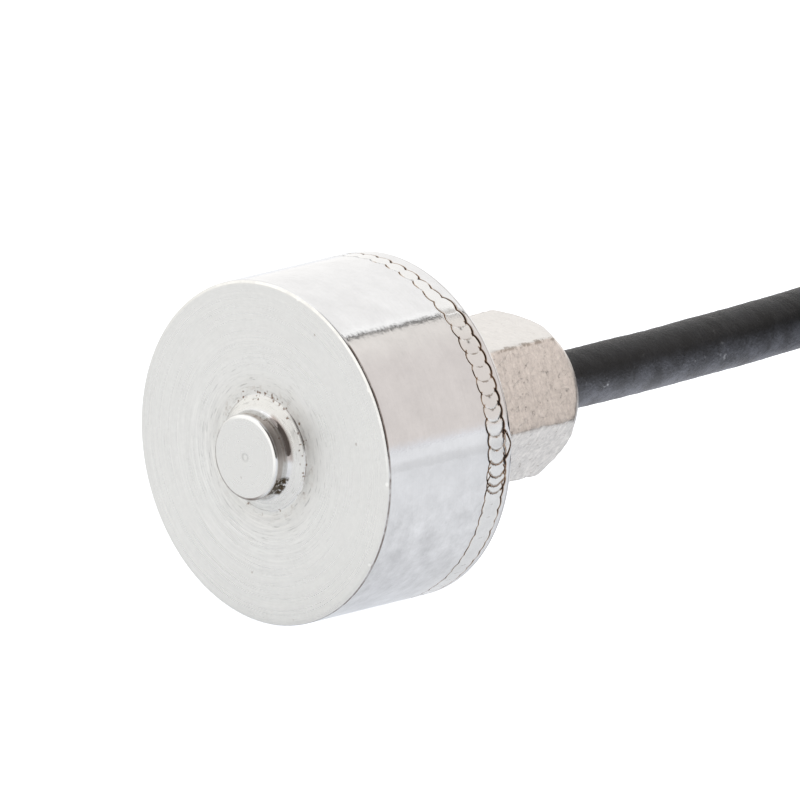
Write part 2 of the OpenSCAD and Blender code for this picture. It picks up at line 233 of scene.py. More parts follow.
def tube(path, radius, sides, lumps=()):
    """Points and faces of a round tube with flat ends along a path; lumps make its radius uneven."""
    side, over = sideways(path)
    turn = np.linspace(0, 2 * pi, sides, endpoint=False)[None, :, None]
    out = np.cos(turn) * side[:, None, :] + np.sin(turn) * over[:, None, :]
    points = even = path[:, None, :] + radius * out
    for height, *wave in lumps:
        points = points + height * waves(even.reshape(-1, 3), *wave).reshape(len(path), sides, 1) * out
    last = (len(path) - 1) * sides
    faces = ring_faces(len(path), sides, closed=False)
    faces += [tuple(range(sides)), tuple(range(last, last + sides))]
    return points.reshape(-1, 3), faces


def joined(shapes):
    """Points and faces of several shapes as one."""
    points, faces = [], []
    for more_points, more_faces in shapes:
        faces += [tuple(i + len(points) for i in face) for face in more_faces]
        points += list(more_points)
    return points, faces


def smooth_path(knots, parts):
    """A smooth curve through knots, parts points to each span."""
    p = np.asarray(knots, float)
    ends = np.vstack([2 * p[0] - p[1], p, 2 * p[-1] - p[-2]])
    t = np.linspace(0, 1, parts, endpoint=False)[:, None]
    spans = []
    for a, b, c, d in zip(ends, ends[1:], ends[2:], ends[3:]):
        spans.append(0.5 * (2 * b + (c - a) * t + (2 * a - 5 * b + 4 * c - d) * t ** 2
                            + (3 * b - a - 3 * c + d) * t ** 3))
    return np.vstack(spans + [p[-1:]])


def path_steps(path):
    """Distance from each point of a path to the next."""
    return np.linalg.norm(np.diff(path, axis=0), axis=1)


# Camera at the photograph's viewing angle

AZIMUTH = radians(44.83)
ELEVATION = radians(13.85)
DISTANCE = 1200.0
PHOTO_W_PX = 800
PX_PER_MM = 29.333
VIEW_RIGHT = 4.634
VIEW_UP = 1.810
SENSOR = 36.0
CLIP_NEAR_M = 0.01
CLIP_FAR_M = 20


def photo_camera():
    """The camera, aimed beside the middle of the sensing face as the photograph is."""
    turn = Euler((pi / 2 - ELEVATION, 0, AZIMUTH)).to_matrix()
    place = Vector((0, RIM_Y, AXIS_Z)) + turn @ Vector((VIEW_RIGHT, VIEW_UP, DISTANCE))
    camera = new_object("camera", bpy.data.cameras.new("camera"))
    camera.data.sensor_width = SENSOR
    camera.data.lens = SENSOR * DISTANCE / (PHOTO_W_PX / PX_PER_MM)
    camera.data.clip_start = CLIP_NEAR_M
    camera.data.clip_end = CLIP_FAR_M
    camera.matrix_world = Matrix.Translation(place * MM) @ turn.to_4x4()
    bpy.context.scene.camera = camera


photo_camera()

# Lead: straight out of the gland, then over to the top turn of the coil

LEAD_KNOTS = [(0, SEAT_Y + POT_DEPTH - CRIMP_LEN, AXIS_Z), (0, GLAND_END_Y, AXIS_Z), (0, 10, AXIS_Z),
              (ENTRY_X * 0.05, 13, AXIS_Z), (ENTRY_X * 0.2, 16, AXIS_Z), (ENTRY_X * 0.4, 19, AXIS_Z),
              (ENTRY_X * 0.6, 22, AXIS_Z + 0.05), (ENTRY_X * 0.85, 25, AXIS_Z + 0.2), (ENTRY_X, 28, ENTRY_Z),
              (ENTRY_X, COIL_Y, ENTRY_Z)]
LEAD_PARTS = 60
COIL_PARTS = 72
JACKET_SIDES = 40

# Height, size, seed and number of the waves that make the jacket uneven
JACKET_LUMPS = [(0.005, 1.3, 3, 9), (0.003, 0.45, 4, 24)]

# Shares of a turn where it crosses over to the next, and the hump that this makes
CROSS_FROM = 0.79
CROSS_TO = 0.96
CROSS_RISE = 0.08
CROSS_LATE = 0.03
CROSS_FALL = 0.05
CROSS_HUMP = 0.275

# How the turns give way to the tie
TIE_HUMP = 0.42
TIE_SQUEEZE = 0.65
TIE_SPAN = radians(9)
SPREAD_SHARE = 0.5
SPREAD_SPAN = radians(26)


def coil_turns():
    """Radius, height and layer of each turn, from the top layer's outermost down to the free end."""
    outer = [TURN_R + CABLE_D * i for i in range(TURNS_ACROSS)]
    inner = [TURN_R + CABLE_D * (i + 0.5) for i in range(TURNS_ACROSS - 1)]
    turns = []
    for layer in range(LAYERS - 1, -1, -1):
        for r in (outer if layer % 2 == 0 else inner[::-1]):
            turns.append((r, CABLE_D / 2 + LAYER_H * layer, layer))
    return turns


def tie_squeeze(height):
    """Share of the tie's thickness that lifts a turn at that height."""
    return 1 - TIE_SQUEEZE * (height - CABLE_D / 2) / (COIL_H - CABLE_D)


def tie_spread(radius, layer):
    """How far sideways a turn lies at the tie, so that the bundle fills the strap's corners."""
    if layer % 2:
        return SPREAD_SHARE * (radius - TURN_R - CABLE_D * (TURNS_ACROSS - 1) / 2)
    if layer == 0 and radius > TURN_R + 1.5 * CABLE_D:
        return CABLE_D
    return 0.0


def coil_path(parts):
    """The wound turns, clockwise seen from above, each crossing over to the next at the same place."""
    turns = coil_turns()
    points = []
    for k, (r, z, layer) in enumerate(turns):
        last = k == len(turns) - 1
        r2, z2, layer2 = turns[k] if last else turns[k + 1]
        for i in range(parts // 4 + 1 if last else parts):
            f = i / parts
            t = ease((f - CROSS_FROM) / (CROSS_TO - CROSS_FROM))
            a = pi - 2 * pi * f
            lift = CROSS_HUMP * mix(layer, layer2, t) * ease((f - CROSS_FROM + CROSS_RISE) / CROSS_RISE)
            lift *= 0 if last else ease((CROSS_TO + CROSS_LATE - f) / CROSS_FALL)
            off = (a - TIE_TURN + pi) % (2 * pi) - pi
            height = mix(z, z2, t)
            lift += TIE_HUMP * tie_squeeze(height) * math.exp(-(off / TIE_SPAN) ** 2)
            radius = mix(r, r2, t) + tie_spread(r, layer) * math.exp(-(off / SPREAD_SPAN) ** 2)
            points.append((COIL_X + radius * cos(a), COIL_Y + radius * sin(a), height + lift))
    return np.array(points)


jacket_path = np.vstack([smooth_path(LEAD_KNOTS, LEAD_PARTS)[:-1], coil_path(COIL_PARTS)])
jacket = new_piece("jacket", tube(jacket_path, CABLE_D / 2, JACKET_SIDES, JACKET_LUMPS),
                   ["cable_lead", "cable_coil"], sharp=50)

# Four core ends on the floor past the jacket, each with a stripped and tinned tip

FREE_R = COIL_OUT_R - CABLE_D / 2
FREE_L = 16.0
FREE_PITCH = 1.1
FREE_BEND = 3.8
FREE_FAN = 0.95
DROP_SHARE = 0.4
STRIP_SHARE = 0.8
TIP_LAP = 0.02
END_PARTS = 90
TIP_PARTS = 70
CORE_SIDES = 18
CORE_LUMPS = [(0.004, 0.7, 5, 9)]
WIRE_R = 0.16
STRAND_R = WIRE_R * 0.42
STRAND_SIDES = 8
STRANDS = 7
TWIST_PITCH = 2.4

# Side and level of each core in the jacket, and its lane on the floor
CORE_ENDS = {"red": (1, 1, 1.5), "black": (-1, 1, -1.5), "green": (1, -1, 0.5), "white": (-1, -1, -0.5)}


def core_end(side, level, lane, shares):
    """Points of one core end, as the frame has them."""
    half = (CORE_D + CORE_GAP) / 2
    d = ease(shares / DROP_SHARE)
    y0 = COIL_Y + FREE_R
    return np.stack([COIL_X + FREE_L * shares,
                     mix(y0 + side * half, y0 + lane * FREE_PITCH, d)
                     - shares ** 3 * (FREE_BEND - lane * FREE_FAN),
                     mix(CABLE_D / 2 + level * half, CORE_D / 2, d)], axis=1)


def twisted_wire(path):
    """Points and faces of a bundle of strands twisted along a path."""
    along = np.concatenate([[0], np.cumsum(path_steps(path))])[:, None]
    side, over = sideways(path)
    strands = []
    for s in range(STRANDS):
        a = 2 * pi * (along / TWIST_PITCH + s / STRANDS)
        line = path + (WIRE_R - STRAND_R) * (np.cos(a) * side + np.sin(a) * over)
        strands.append(tube(line, STRAND_R, STRAND_SIDES))
    return joined(strands)


end_pieces = []
for core, lie in CORE_ENDS.items():
    core_line = core_end(*lie, np.linspace(0, STRIP_SHARE, END_PARTS))
    end_pieces.append(new_piece("lead_end_" + core, tube(core_line, CORE_D / 2, CORE_SIDES, CORE_LUMPS),
                                ["lead_" + core], sharp=50))
    tip_line = core_end(*lie, np.linspace(STRIP_SHARE - TIP_LAP, 1, TIP_PARTS))
    tip_line[:, 2] -= (CORE_D / 2 - WIRE_R) * ease(np.linspace(0, 2, TIP_PARTS))
    end_pieces.append(new_piece("lead_tip_" + core, twisted_wire(tip_line), sharp=50))

# Tie round the coil: a strap with rounded edges, its ratchet head and the cut tail

STRAP_ROUND = 2 * TIE_T
STRAP_EDGE = 0.12
STRAP_STEP = 0.09
RIB_H = 0.035
RIB_EVERY = 8
RIB_RUN = 3
RIB_MARGIN = 0.2
HEAD_L = 3.0
HEAD_H = 1.6
HEAD_W = 2.8
HEAD_SUNK = 0.1
HEAD_INSET = 0.1
HEAD_EDGE = 0.16
CHEEK_T = 0.45
BACK_T = 0.9
FRONT_T = 0.7
PAWL_FROM = 0.8
PAWL_TO = 1.5
PAWL_H = HEAD_H * 0.8
PAWL_ROOM = 0.08
PAWL_EDGE = 0.1
TAIL_FROM = 1.65
TAIL_TO = 2.05
TAIL_PROUD = 0.33
TAIL_EDGE = 0.08


def tie_frame(u, v, w):
    """A point beside the coil: u out from its middle, v up, w along the turns."""
    return (COIL_X + u * cos(TIE_TURN) - w * sin(TIE_TURN),
            COIL_Y + u * sin(TIE_TURN) + w * cos(TIE_TURN), v)


def loop_of(u0, u1, v0, v1, radius, parts):
    """Points of a rounded rectangle, each with the way out of it."""
    corners = [(u1 - radius, v0 + radius, -90), (u1 - radius, v1 - radius, 0),
               (u0 + radius, v1 - radius, 90), (u0 + radius, v0 + radius, 180)]
    out = []
    for cu, cv, start in corners:
        for a in np.radians(np.linspace(start, start + 90, parts + 1)):
            out.append((cu + radius * cos(a), cv + radius * sin(a), cos(a), sin(a)))
    return np.array(out)


def tie_strap():
    """Strap swept round the loop, with shallow cross ribs on its outside."""
    around = TIE_GAP + TIE_T
    loop = loop_of(COIL_IN_R - around, COIL_OUT_R + around, 0, COIL_H + around, STRAP_ROUND, 8)
    section = loop_of(-TIE_W / 2, TIE_W / 2, -TIE_T, 0, STRAP_EDGE, 3)
    runs = []
    for here, after in zip(loop, np.roll(loop, -1, axis=0)):
        n = max(1, math.ceil(math.dist(here[:2], after[:2]) / STRAP_STEP))
        runs += [mix(here, after, i / n) for i in range(n)]
    points = []
    for k, (u, v, nu, nv) in enumerate(runs):
        rib = RIB_H if k % RIB_EVERY < RIB_RUN else 0
        for w, depth in section[:, :2]:
            sunk = rib if depth > -TIE_T / 2 and abs(w) < TIE_W / 2 - RIB_MARGIN else 0
            points.append(tie_frame(u + nu * (depth - sunk), v + nv * (depth - sunk), w))
    return points, ring_faces(len(runs), len(section), closed=True)


def rounded_box(lo, hi, edge):
    """Points and faces of a box with rounded edges in the tie's frame."""
    shape = bmesh.new()
    bmesh.ops.create_cube(shape, size=1)
    for v in shape.verts:
        v.co = Vector([mix(a, b, c + 0.5) for a, b, c in zip(lo, hi, v.co)])
    bmesh.ops.bevel(shape, geom=shape.edges[:], offset=edge, segments=4, profile=0.5, affect="EDGES")
    points = [tie_frame(*v.co) for v in shape.verts]
    faces = [tuple(v.index for v in f.verts) for f in shape.faces]
    shape.free()
    return points, faces


def tie_head():
    """Ratchet head: two cheeks, a back and a front round the strap's slot, the pawl and the cut tail."""
    u0 = (COIL_IN_R + COIL_OUT_R) / 2 - TIE_GAP
    v0 = COIL_H + TIE_GAP + TIE_T - HEAD_SUNK
    cheek_w = (HEAD_W - CHEEK_T) / 2
    inner_w = HEAD_W / 2 - HEAD_INSET
    # Start and end along the head, height, middle and half width, and edge radius of each box
    boxes = [(0, HEAD_L, HEAD_H, -cheek_w, CHEEK_T / 2, HEAD_EDGE),
             (0, HEAD_L, HEAD_H, cheek_w, CHEEK_T / 2, HEAD_EDGE),
             (0, BACK_T, HEAD_H, 0, inner_w, HEAD_EDGE),
             (HEAD_L - FRONT_T, HEAD_L, HEAD_H, 0, inner_w, HEAD_EDGE),
             (PAWL_FROM, PAWL_TO, PAWL_H, 0, HEAD_W / 2 - CHEEK_T - PAWL_ROOM, PAWL_EDGE),
             (TAIL_FROM, TAIL_TO, HEAD_H + TAIL_PROUD, 0, TIE_W / 2 - HEAD_INSET, TAIL_EDGE)]
    return joined([rounded_box((u0 + start, v0, middle - half), (u0 + end, v0 + height, middle + half), edge)
                   for start, end, height, middle, half, edge in boxes])


strap = new_piece("tie_strap", tie_strap(), ["cable_tie"], sharp=40)
head = new_piece("tie_head", tie_head(), sharp=40)

# Body: the turned cup with its button, its sloping root and the dents on its front edge

CUP_SIDES = 512
COVER_SIDES = 256
FACE_STEP = 0.12
ROOT_STEP = 0.1
EDGE_STEP = 0.05
FLAT_STEP = 0.02
SIDE_STEP = 0.4
EDGE_ZONE_IN = BODY_R - EDGE_R - 0.4
EDGE_ZONE_BACK = FACE_Z - EDGE_R - 0.3

# Angle of each dent in degrees, and its size
NICKS = {31.6: 0.11, -0.7: 0.09, -31.0: 0.07, 74.0: 0.08}
NICK_DEPTH = 0.02
NICK_IN = 0.03


def body_outline():
    """Outline of the cup from the pip on the button round to the hub under the web."""
    slope = math.atan(ROOT_H / ROOT_W)
    fillet_h = FACE_Z + ROOT_H + ROOT_FILLET * (1 - sin(slope)) / cos(slope)
    top = FACE_Z + BUTTON_H
    ledge = COVER_T + SPIGOT_LEN + BOARD_T
    bore = BODY_R - WALL_T
    web = FACE_Z - WEB_T
    face = [(0, top - PIP_H), (PIP_R, top)]
    face += dense([(PIP_R, top), (BUTTON_R - BUTTON_EDGE, top)], FACE_STEP)[1:-1]
    face += arc((BUTTON_R - BUTTON_EDGE, top - BUTTON_EDGE), BUTTON_EDGE, 90, 0, 6)
    face += arc((BUTTON_R + ROOT_FILLET, fillet_h), ROOT_FILLET, 180, 270 - math.degrees(slope), 8)
    face += dense([face[-1], (ROOT_R, FACE_Z)], ROOT_STEP)[1:-1]
    face += arc((ROOT_R + FOOT_OUT, FACE_Z + FOOT_UP), FOOT_R, 210, 270, 3)
    face += dense([(ROOT_R + FOOT_OUT, FACE_Z), (EDGE_ZONE_IN, FACE_Z)], FACE_STEP)[1:]
    face += dense([face[-1], (EDGE_FLAT_IN, FACE_Z)], EDGE_STEP)[1:-1]
    face += dense([(EDGE_FLAT_IN, FACE_Z), (EDGE_FLAT_OUT, FACE_Z - EDGE_DROP)], FLAT_STEP)[:-1]
    face += arc((BODY_R - EDGE_ROUND, FACE_Z - EDGE_H), EDGE_ROUND, 90 - math.degrees(EDGE_SLOPE), 0, 8)
    face += dense([face[-1], (BODY_R, EDGE_ZONE_BACK)], EDGE_STEP)[1:]
    face += dense([face[-1], (BODY_R, COVER_T + GROOVE_W / 2)], SIDE_STEP)[1:]
    inside = [(BODY_R - GROOVE_H, COVER_T), (bore, COVER_T), (bore, ledge), (bore - LEDGE_W, ledge),
              (bore - LEDGE_W, web), (HUB_R, web), (HUB_R, web - HUB_H), (0, web - HUB_H)]
    return face + inside


def cup():
    """The turned cup with small dents where its front edge was knocked."""
    points, faces = turned(body_outline(), CUP_SIDES, closed=False)
    for turn, size in NICKS.items():
        a = radians(turn)
        at = round_axis(BODY_R - NICK_IN, a, RIM_Y + NICK_IN)
        push = np.array([-cos(a), 1, -sin(a)]) / math.sqrt(2)
        near = np.exp(-(np.linalg.norm(points - at, axis=1) / size) ** 2)
        points = points + NICK_DEPTH * near[:, None] * push
    return points, faces


def cover_outline():
    """Outline of the cover from its bore over the rear face and the rim to the spigot."""
    bore = GLAND_SPIGOT_R + FIT
    spigot = BODY_R - WALL_T - FIT
    relief = HEX_CORNER + RELIEF_ROOM
    top = COVER_T + SPIGOT_LEN
    rear = [(bore, RELIEF_H), (relief, RELIEF_H), (relief, 0)]
    rim = arc((BODY_R - EDGE_R, EDGE_R), EDGE_R, -90, 0, 8)
    vee = [(BODY_R, COVER_T - GROOVE_W / 2), (BODY_R - GROOVE_H, COVER_T)]
    inside = [(spigot, COVER_T), (spigot, top), (spigot - SPIGOT_W, top), (spigot - SPIGOT_W, COVER_T),
              (bore, COVER_T)]
    return rear + rim + vee + inside


body = new_piece("cup", cup(), ["body"], sharp=26)
cover = new_piece("cover", turned(cover_outline(), COVER_SIDES, closed=True), ["rear_cover"],
                  sharp=26)

# Weld bead: overlapping spots laid one over the other, closer together where the last pass began

RNG = np.random.default_rng(7)
STATIONS = 1440
ACROSS = 49
SPOT_R = 0.42
SPOT_POWER = 2.0
SPOT_REACH = 0.6
OFF_SPREAD = 0.012
R_SPREAD = 0.010
SPOT_CROWN = 0.004
UNDERCUT = 0.020
BORDER_CUT = 0.026
WOBBLE = 0.007
WOBBLE_SIZE = 0.35
LINE_W = 0.048
STRONG_LINE_W = 0.006
DOT_R = 0.05
DOT_AT = (0.06, 0.03)
DOT_FROM = 0.42
DOT_TO = 0.66
LAP = 0.004
NARROWING = 0.27
LOW_STRETCH = 1.1

# Angles in degrees round the seam: the laying, its last pass, and where the bead changes
FIRST_TURN = 150.0
PASS_TURNS = (-8.8, -6.2, -3.4)
STOP_TURN = PASS_TURNS[0] - 0.1
TOP_TURN = 52.0
NARROW_FROM = 52.0
NARROW_TO = 150.0
NARROW_EASE = 10.0
LOW_TURN = -130.0
LOW_START = 4.4
FRONT_END = 84.0

# Spot pitch, and how much longer it is over the top and underneath, each a hill of middle and width
PITCH = 0.465
PITCH_RANGE = (0.92, 1.08)
TOP_PITCH = 0.20
TOP_HILL = (78, 38)
UNDER_PITCH = 0.05
UNDER_HILL = (230, 70)

# Leaf of overrun metal behind the bead
LEAF_TURN = 3.5
LEAF_SPAN = 6.5
LEAF_OFF = -0.41
LEAF_R = 0.23
LEAF_STRETCH = 2.0
LEAF_STRENGTH = 0.5
LEAF_POWER = 1.35
LEAF_REACH = 0.42


def short_way(turn, middle):
    """Angle from a middle in degrees, the short way round."""
    return (np.asarray(turn) - middle + 180) % 360 - 180


def hill(turn, middle, width):
    """Smooth hill over an angle in degrees."""
    return np.exp(-(short_way(turn, middle) / width) ** 2)


def spot_pitch(turn):
    """Distance from spot to spot: closer on the side that faces the viewer than over the top."""
    return PITCH + TOP_PITCH * hill(turn, *TOP_HILL) + UNDER_PITCH * hill(turn, *UNDER_HILL)


def spot_strength(turn):
    """How strongly a spot's own edge shows inside the bead."""
    if turn < STOP_TURN:
        return RNG.uniform(0.0, 0.24)
    if turn > TOP_TURN:
        return RNG.uniform(0.0, 0.10)
    return min(1.0, RNG.uniform(0.36, 0.75) + 0.6 * float(hill(turn, -6, 8)))


def spot_list():
    """Angle, offset across the seam, radius, stretch along it, strength and roundness, in the order laid."""
    turns = []
    turn = FIRST_TURN - 360
    while turn < FIRST_TURN:
        turns.append(turn)
        step = math.degrees(spot_pitch(turn) / BODY_R)
        turn += step * RNG.uniform(*PITCH_RANGE)
        if turns[-1] < PASS_TURNS[0] <= turn:
            turns += PASS_TURNS
            turn = PASS_TURNS[-1] + step
    spots = [(LEAF_TURN, LEAF_OFF, LEAF_R, LEAF_STRETCH, LEAF_STRENGTH, LEAF_POWER)]
    for turn in turns:
        narrow = ease((turn - NARROW_FROM) / NARROW_EASE) * ease((NARROW_TO - turn) / NARROW_EASE)
        thin = NARROWING * float(narrow)
        radius = SPOT_R - thin / 2
        stretch = max(1.0, SPOT_REACH * float(spot_pitch(turn)) / radius)
        if LOW_TURN < turn < STOP_TURN:
            stretch = LOW_STRETCH
        spots.append((turn, thin / 2 + RNG.normal(0, OFF_SPREAD), radius + RNG.normal(0, R_SPREAD), stretch,
                      spot_strength(turn), SPOT_POWER))
    return spots


def from_spot(degrees, v, turn, off, stretch, power):
    """Place along the seam from a spot's middle, and the distance from it in the spot's own rounding."""
    along = np.radians(short_way(degrees, turn)) * BODY_R / stretch
    return along, (np.abs(along) ** power + np.abs(v - off) ** power) ** (1 / power)


def bead_surface():
    """Height above the body's side and the heat marks over the whole bead, by angle and place across it."""
    turn = np.linspace(0, 360, STATIONS, endpoint=False)
    degrees, across = np.meshgrid(turn, np.linspace(-1, 1, ACROSS), indexing="ij")
    v = across * GROOVE_W / 2 * (1 + LEAF_REACH * hill(degrees, LEAF_TURN, LEAF_SPAN) * (across < 0))
    flat = np.stack([np.radians(degrees) * BODY_R, v], -1).reshape(-1, 2)
    wobble = waves(flat, WOBBLE_SIZE, seed=11).reshape(v.shape)
    height, ring, speck, spot, phase = (np.zeros_like(v) for _ in range(5))
    gap, union = (np.full_like(v, np.inf) for _ in range(2))
    middle = np.exp(-(v / 0.16) ** 2)
    for turn, off, radius, stretch, strength, power in spot_list():
        along, d = from_spot(degrees, v, turn, off, stretch, power)
        d = d + WOBBLE * wobble
        inside = d < radius
        line_w = LINE_W + STRONG_LINE_W * float(ease((strength - 0.8) / 0.2))
        line = np.exp(-((radius - d) / line_w) ** 2)
        height = np.where(inside, SPOT_CROWN * (1 - (d / radius) ** 2) - UNDERCUT * line * strength, height)
        kept = np.maximum(middle, ease((strength - 0.6) / 0.3) * ease((0.36 - np.abs(v)) / 0.10))
        ring = np.where(inside, line * strength * kept, ring)
        dot = np.exp(-(np.hypot(along - DOT_AT[0], v - off - DOT_AT[1]) / DOT_R) ** 2)
        speck = np.where(inside, dot * (DOT_FROM < strength < DOT_TO), speck)
        spot = np.where(inside, 1.0, spot)
        union = np.minimum(union, d - radius)
        nearer = np.abs(d - radius) < gap
        gap = np.where(nearer, np.abs(d - radius), gap)
        phase = np.where(nearer, along / radius, phase)
    low = ease((degrees - 360 - LOW_TURN) / 2) * ease(PASS_TURNS[0] + 360 - LOW_START - degrees)
    gap = mix(gap, np.abs(union), low)
    return degrees, v, height, ring, speck, spot, gap, phase, wobble


def in_leaf(degrees, v):
    """One inside the leaf behind the bead, falling off towards its outline."""
    _, d = from_spot(degrees, v, LEAF_TURN, LEAF_OFF, LEAF_STRETCH, LEAF_POWER)
    return ease((LEAF_R - d) / 0.04 - 0.6)


def bead_border(degrees, v, spot, gap, phase, wobble):
    """Darkness of the two edge lines: heavy at the rear, thin below the stop, broken over the top."""
    front = v > 0
    below = np.maximum(hill(degrees, -52, 34), hill(degrees, -26, 12))
    over = hill(degrees, 80, 25)
    front_gain = 0.85 + 0.4 * hill(degrees, -4, 9) + 0.05 * below
    front_gain *= 1 - ease((degrees - FRONT_END) / 4) * ease((NARROW_TO - degrees) / NARROW_EASE)
    rear_gain = 1.3 + 0.2 * hill(degrees, 28, 22) - 0.35 * below - 0.4 * hill(degrees, 114, 22)
    gain = np.where(front, front_gain, rear_gain) * (1 + 0.22 * wobble) * (1 - 0.3 * over * front)
    gain *= 1 - 0.6 * in_leaf(degrees, v)
    lean = np.clip(0.50 + 1.2 * phase * np.sign(v), np.where(front, 0.04, 0.55), 1.2)
    width = np.where(front, 0.030, 0.044 - 0.014 * hill(degrees, LEAF_TURN, 6)) * (1 - 0.3 * below)
    outer = np.exp(-(gap / width) ** 2) * (spot < 0.5)
    inner = np.exp(-(gap / width / 0.65) ** 2) * (spot > 0.5) * ease((np.abs(v) - 0.26) / 0.06)
    return np.maximum(outer, inner) * gain * mix(1.0, lean, over), outer


def with_root(values, root):
    """A value for each point of the bead, and one more for the root of the vee at each station."""
    return np.hstack([values, np.full((STATIONS, 1), root)])


def weld_bead():
    """The bead piece, with its heat marks as values on its points."""
    degrees, v, height, ring, speck, spot, gap, phase, wobble = bead_surface()
    border, outer = bead_border(degrees, v, spot, gap, phase, wobble)
    halo = np.exp(-((gap - 0.085) / 0.03) ** 2) * ease((np.abs(v) - 0.22) / 0.08)
    height = (height - BORDER_CUT * outer) * ease((GROOVE_W / 2 - np.abs(v)) / 0.04)
    height += LAP * (np.abs(v) > GROOVE_W / 2 + 0.001)
    a = np.radians(with_root(degrees, degrees[:, :1]))
    r = with_root(BODY_R + height, BODY_R - GROOVE_H)
    points = np.stack([r * np.cos(a), SEAM_Y - with_root(v, 0), AXIS_Z + r * np.sin(a)], -1).reshape(-1, 3)
    faces = ring_faces(STATIONS, ACROSS + 1, closed=True)
    piece = new_piece("bead", (points, faces), ["weld_bead"], sharp=60)
    marks = {"border": border, "ring": ring, "speck": speck, "spot": spot * (0.5 + 0.5 * halo)}
    for name, values in marks.items():
        layer = piece.data.attributes.new(name, "FLOAT", "POINT")
        layer.data.foreach_set("value", with_root(np.clip(values, 0, 1), 0).ravel().astype(np.float32))
    return piece


bead = weld_bead()

# Gland: hexagon bar with a coned end, slightly worn edges and its stepped bore

FLAT_PARTS = 26
FLAT_RINGS = 48
CORNER_R = 0.16
NOTCH = 0.02
NOTCH_SIZE = 0.4
RAGGED = 0.02
RAGGED_SIZE = 0.5
WORN = 0.04
BORE_EDGE = 0.1
END_EDGE_IN = 0.04
END_EDGE_OUT = 0.03
FOOT_EDGE = 0.03


def hexagon():
    """Points round the rounded hexagon, the same number on each flat."""
    reach = HEX_CORNER - CORNER_R / cos(radians(30))
    rounds = []
    for turn in range(0, 360, 60):
        a = radians(HEX_TURN + turn)
        centre = (reach * cos(a), reach * sin(a))
        rounds.append(np.array(arc(centre, CORNER_R, HEX_TURN + turn - 30, HEX_TURN + turn + 30, 4)))
    out = []
    for here, after in zip(rounds, rounds[1:] + rounds[:1]):
        out += list(here)
        out += [mix(here[-1], after[0], i / FLAT_PARTS) for i in range(1, FLAT_PARTS)]
    return np.array(out)


def gland_shape():
    """Points and faces of the gland as rings of (radius, height above the seat), from the bore outwards."""
    hexa = hexagon()
    r = np.linalg.norm(hexa, axis=1)
    way = hexa / r[:, None]
    end = SEAT_Y - GLAND_END_Y
    rise = HEX_CHAMFER / (HEX_CORNER - HEX_END_R)
    ragged = RAGGED * waves(hexa, RAGGED_SIZE, seed=21)
    cone_h = end + (r - HEX_END_R) * rise
    worn_r = r - WORN / rise * 0.6
    half_r = mix(HEX_END_R, worn_r, 0.5)
    rings = [(BORE_R, -POT_DEPTH), (BORE_R, end + BORE_EDGE), (BORE_R + BORE_EDGE, end),
             (HEX_END_R - END_EDGE_IN, end), (HEX_END_R + END_EDGE_OUT, end + END_EDGE_OUT * rise),
             (half_r, end + (half_r - HEX_END_R) * rise),
             (worn_r, end + (worn_r - HEX_END_R) * rise + ragged),
             (r - 0.006, cone_h + 0.012 + ragged), (r, cone_h + WORN + ragged)]
    at_corner = ease((r - r.max() + 0.10) / 0.09)
    for t in np.linspace(0, 1, FLAT_RINGS + 1)[1:]:
        h = mix(cone_h + WORN + ragged, RELIEF_H - FOOT_EDGE, t)
        knocks = waves(np.column_stack([hexa, h]), NOTCH_SIZE, seed=31)
        rings.append((r - NOTCH * at_corner * np.clip(knocks, 0, 2), h))
    inner_h = COVER_T + GLAND_PROUD
    rings += [(r - FOOT_EDGE, RELIEF_H), (GLAND_SPIGOT_R, RELIEF_H), (GLAND_SPIGOT_R, inner_h),
              (POT_R, inner_h), (POT_R, -POT_DEPTH)]
    points = [np.column_stack(np.broadcast_arrays(way[:, 0] * q, SEAT_Y - h, AXIS_Z + way[:, 1] * q))
              for q, h in rings]
    return np.vstack(points), ring_faces(len(rings), len(hexa), closed=True)


gland = new_piece("gland", gland_shape(), ["cable_gland"], sharp=24)

# Node helpers for the materials


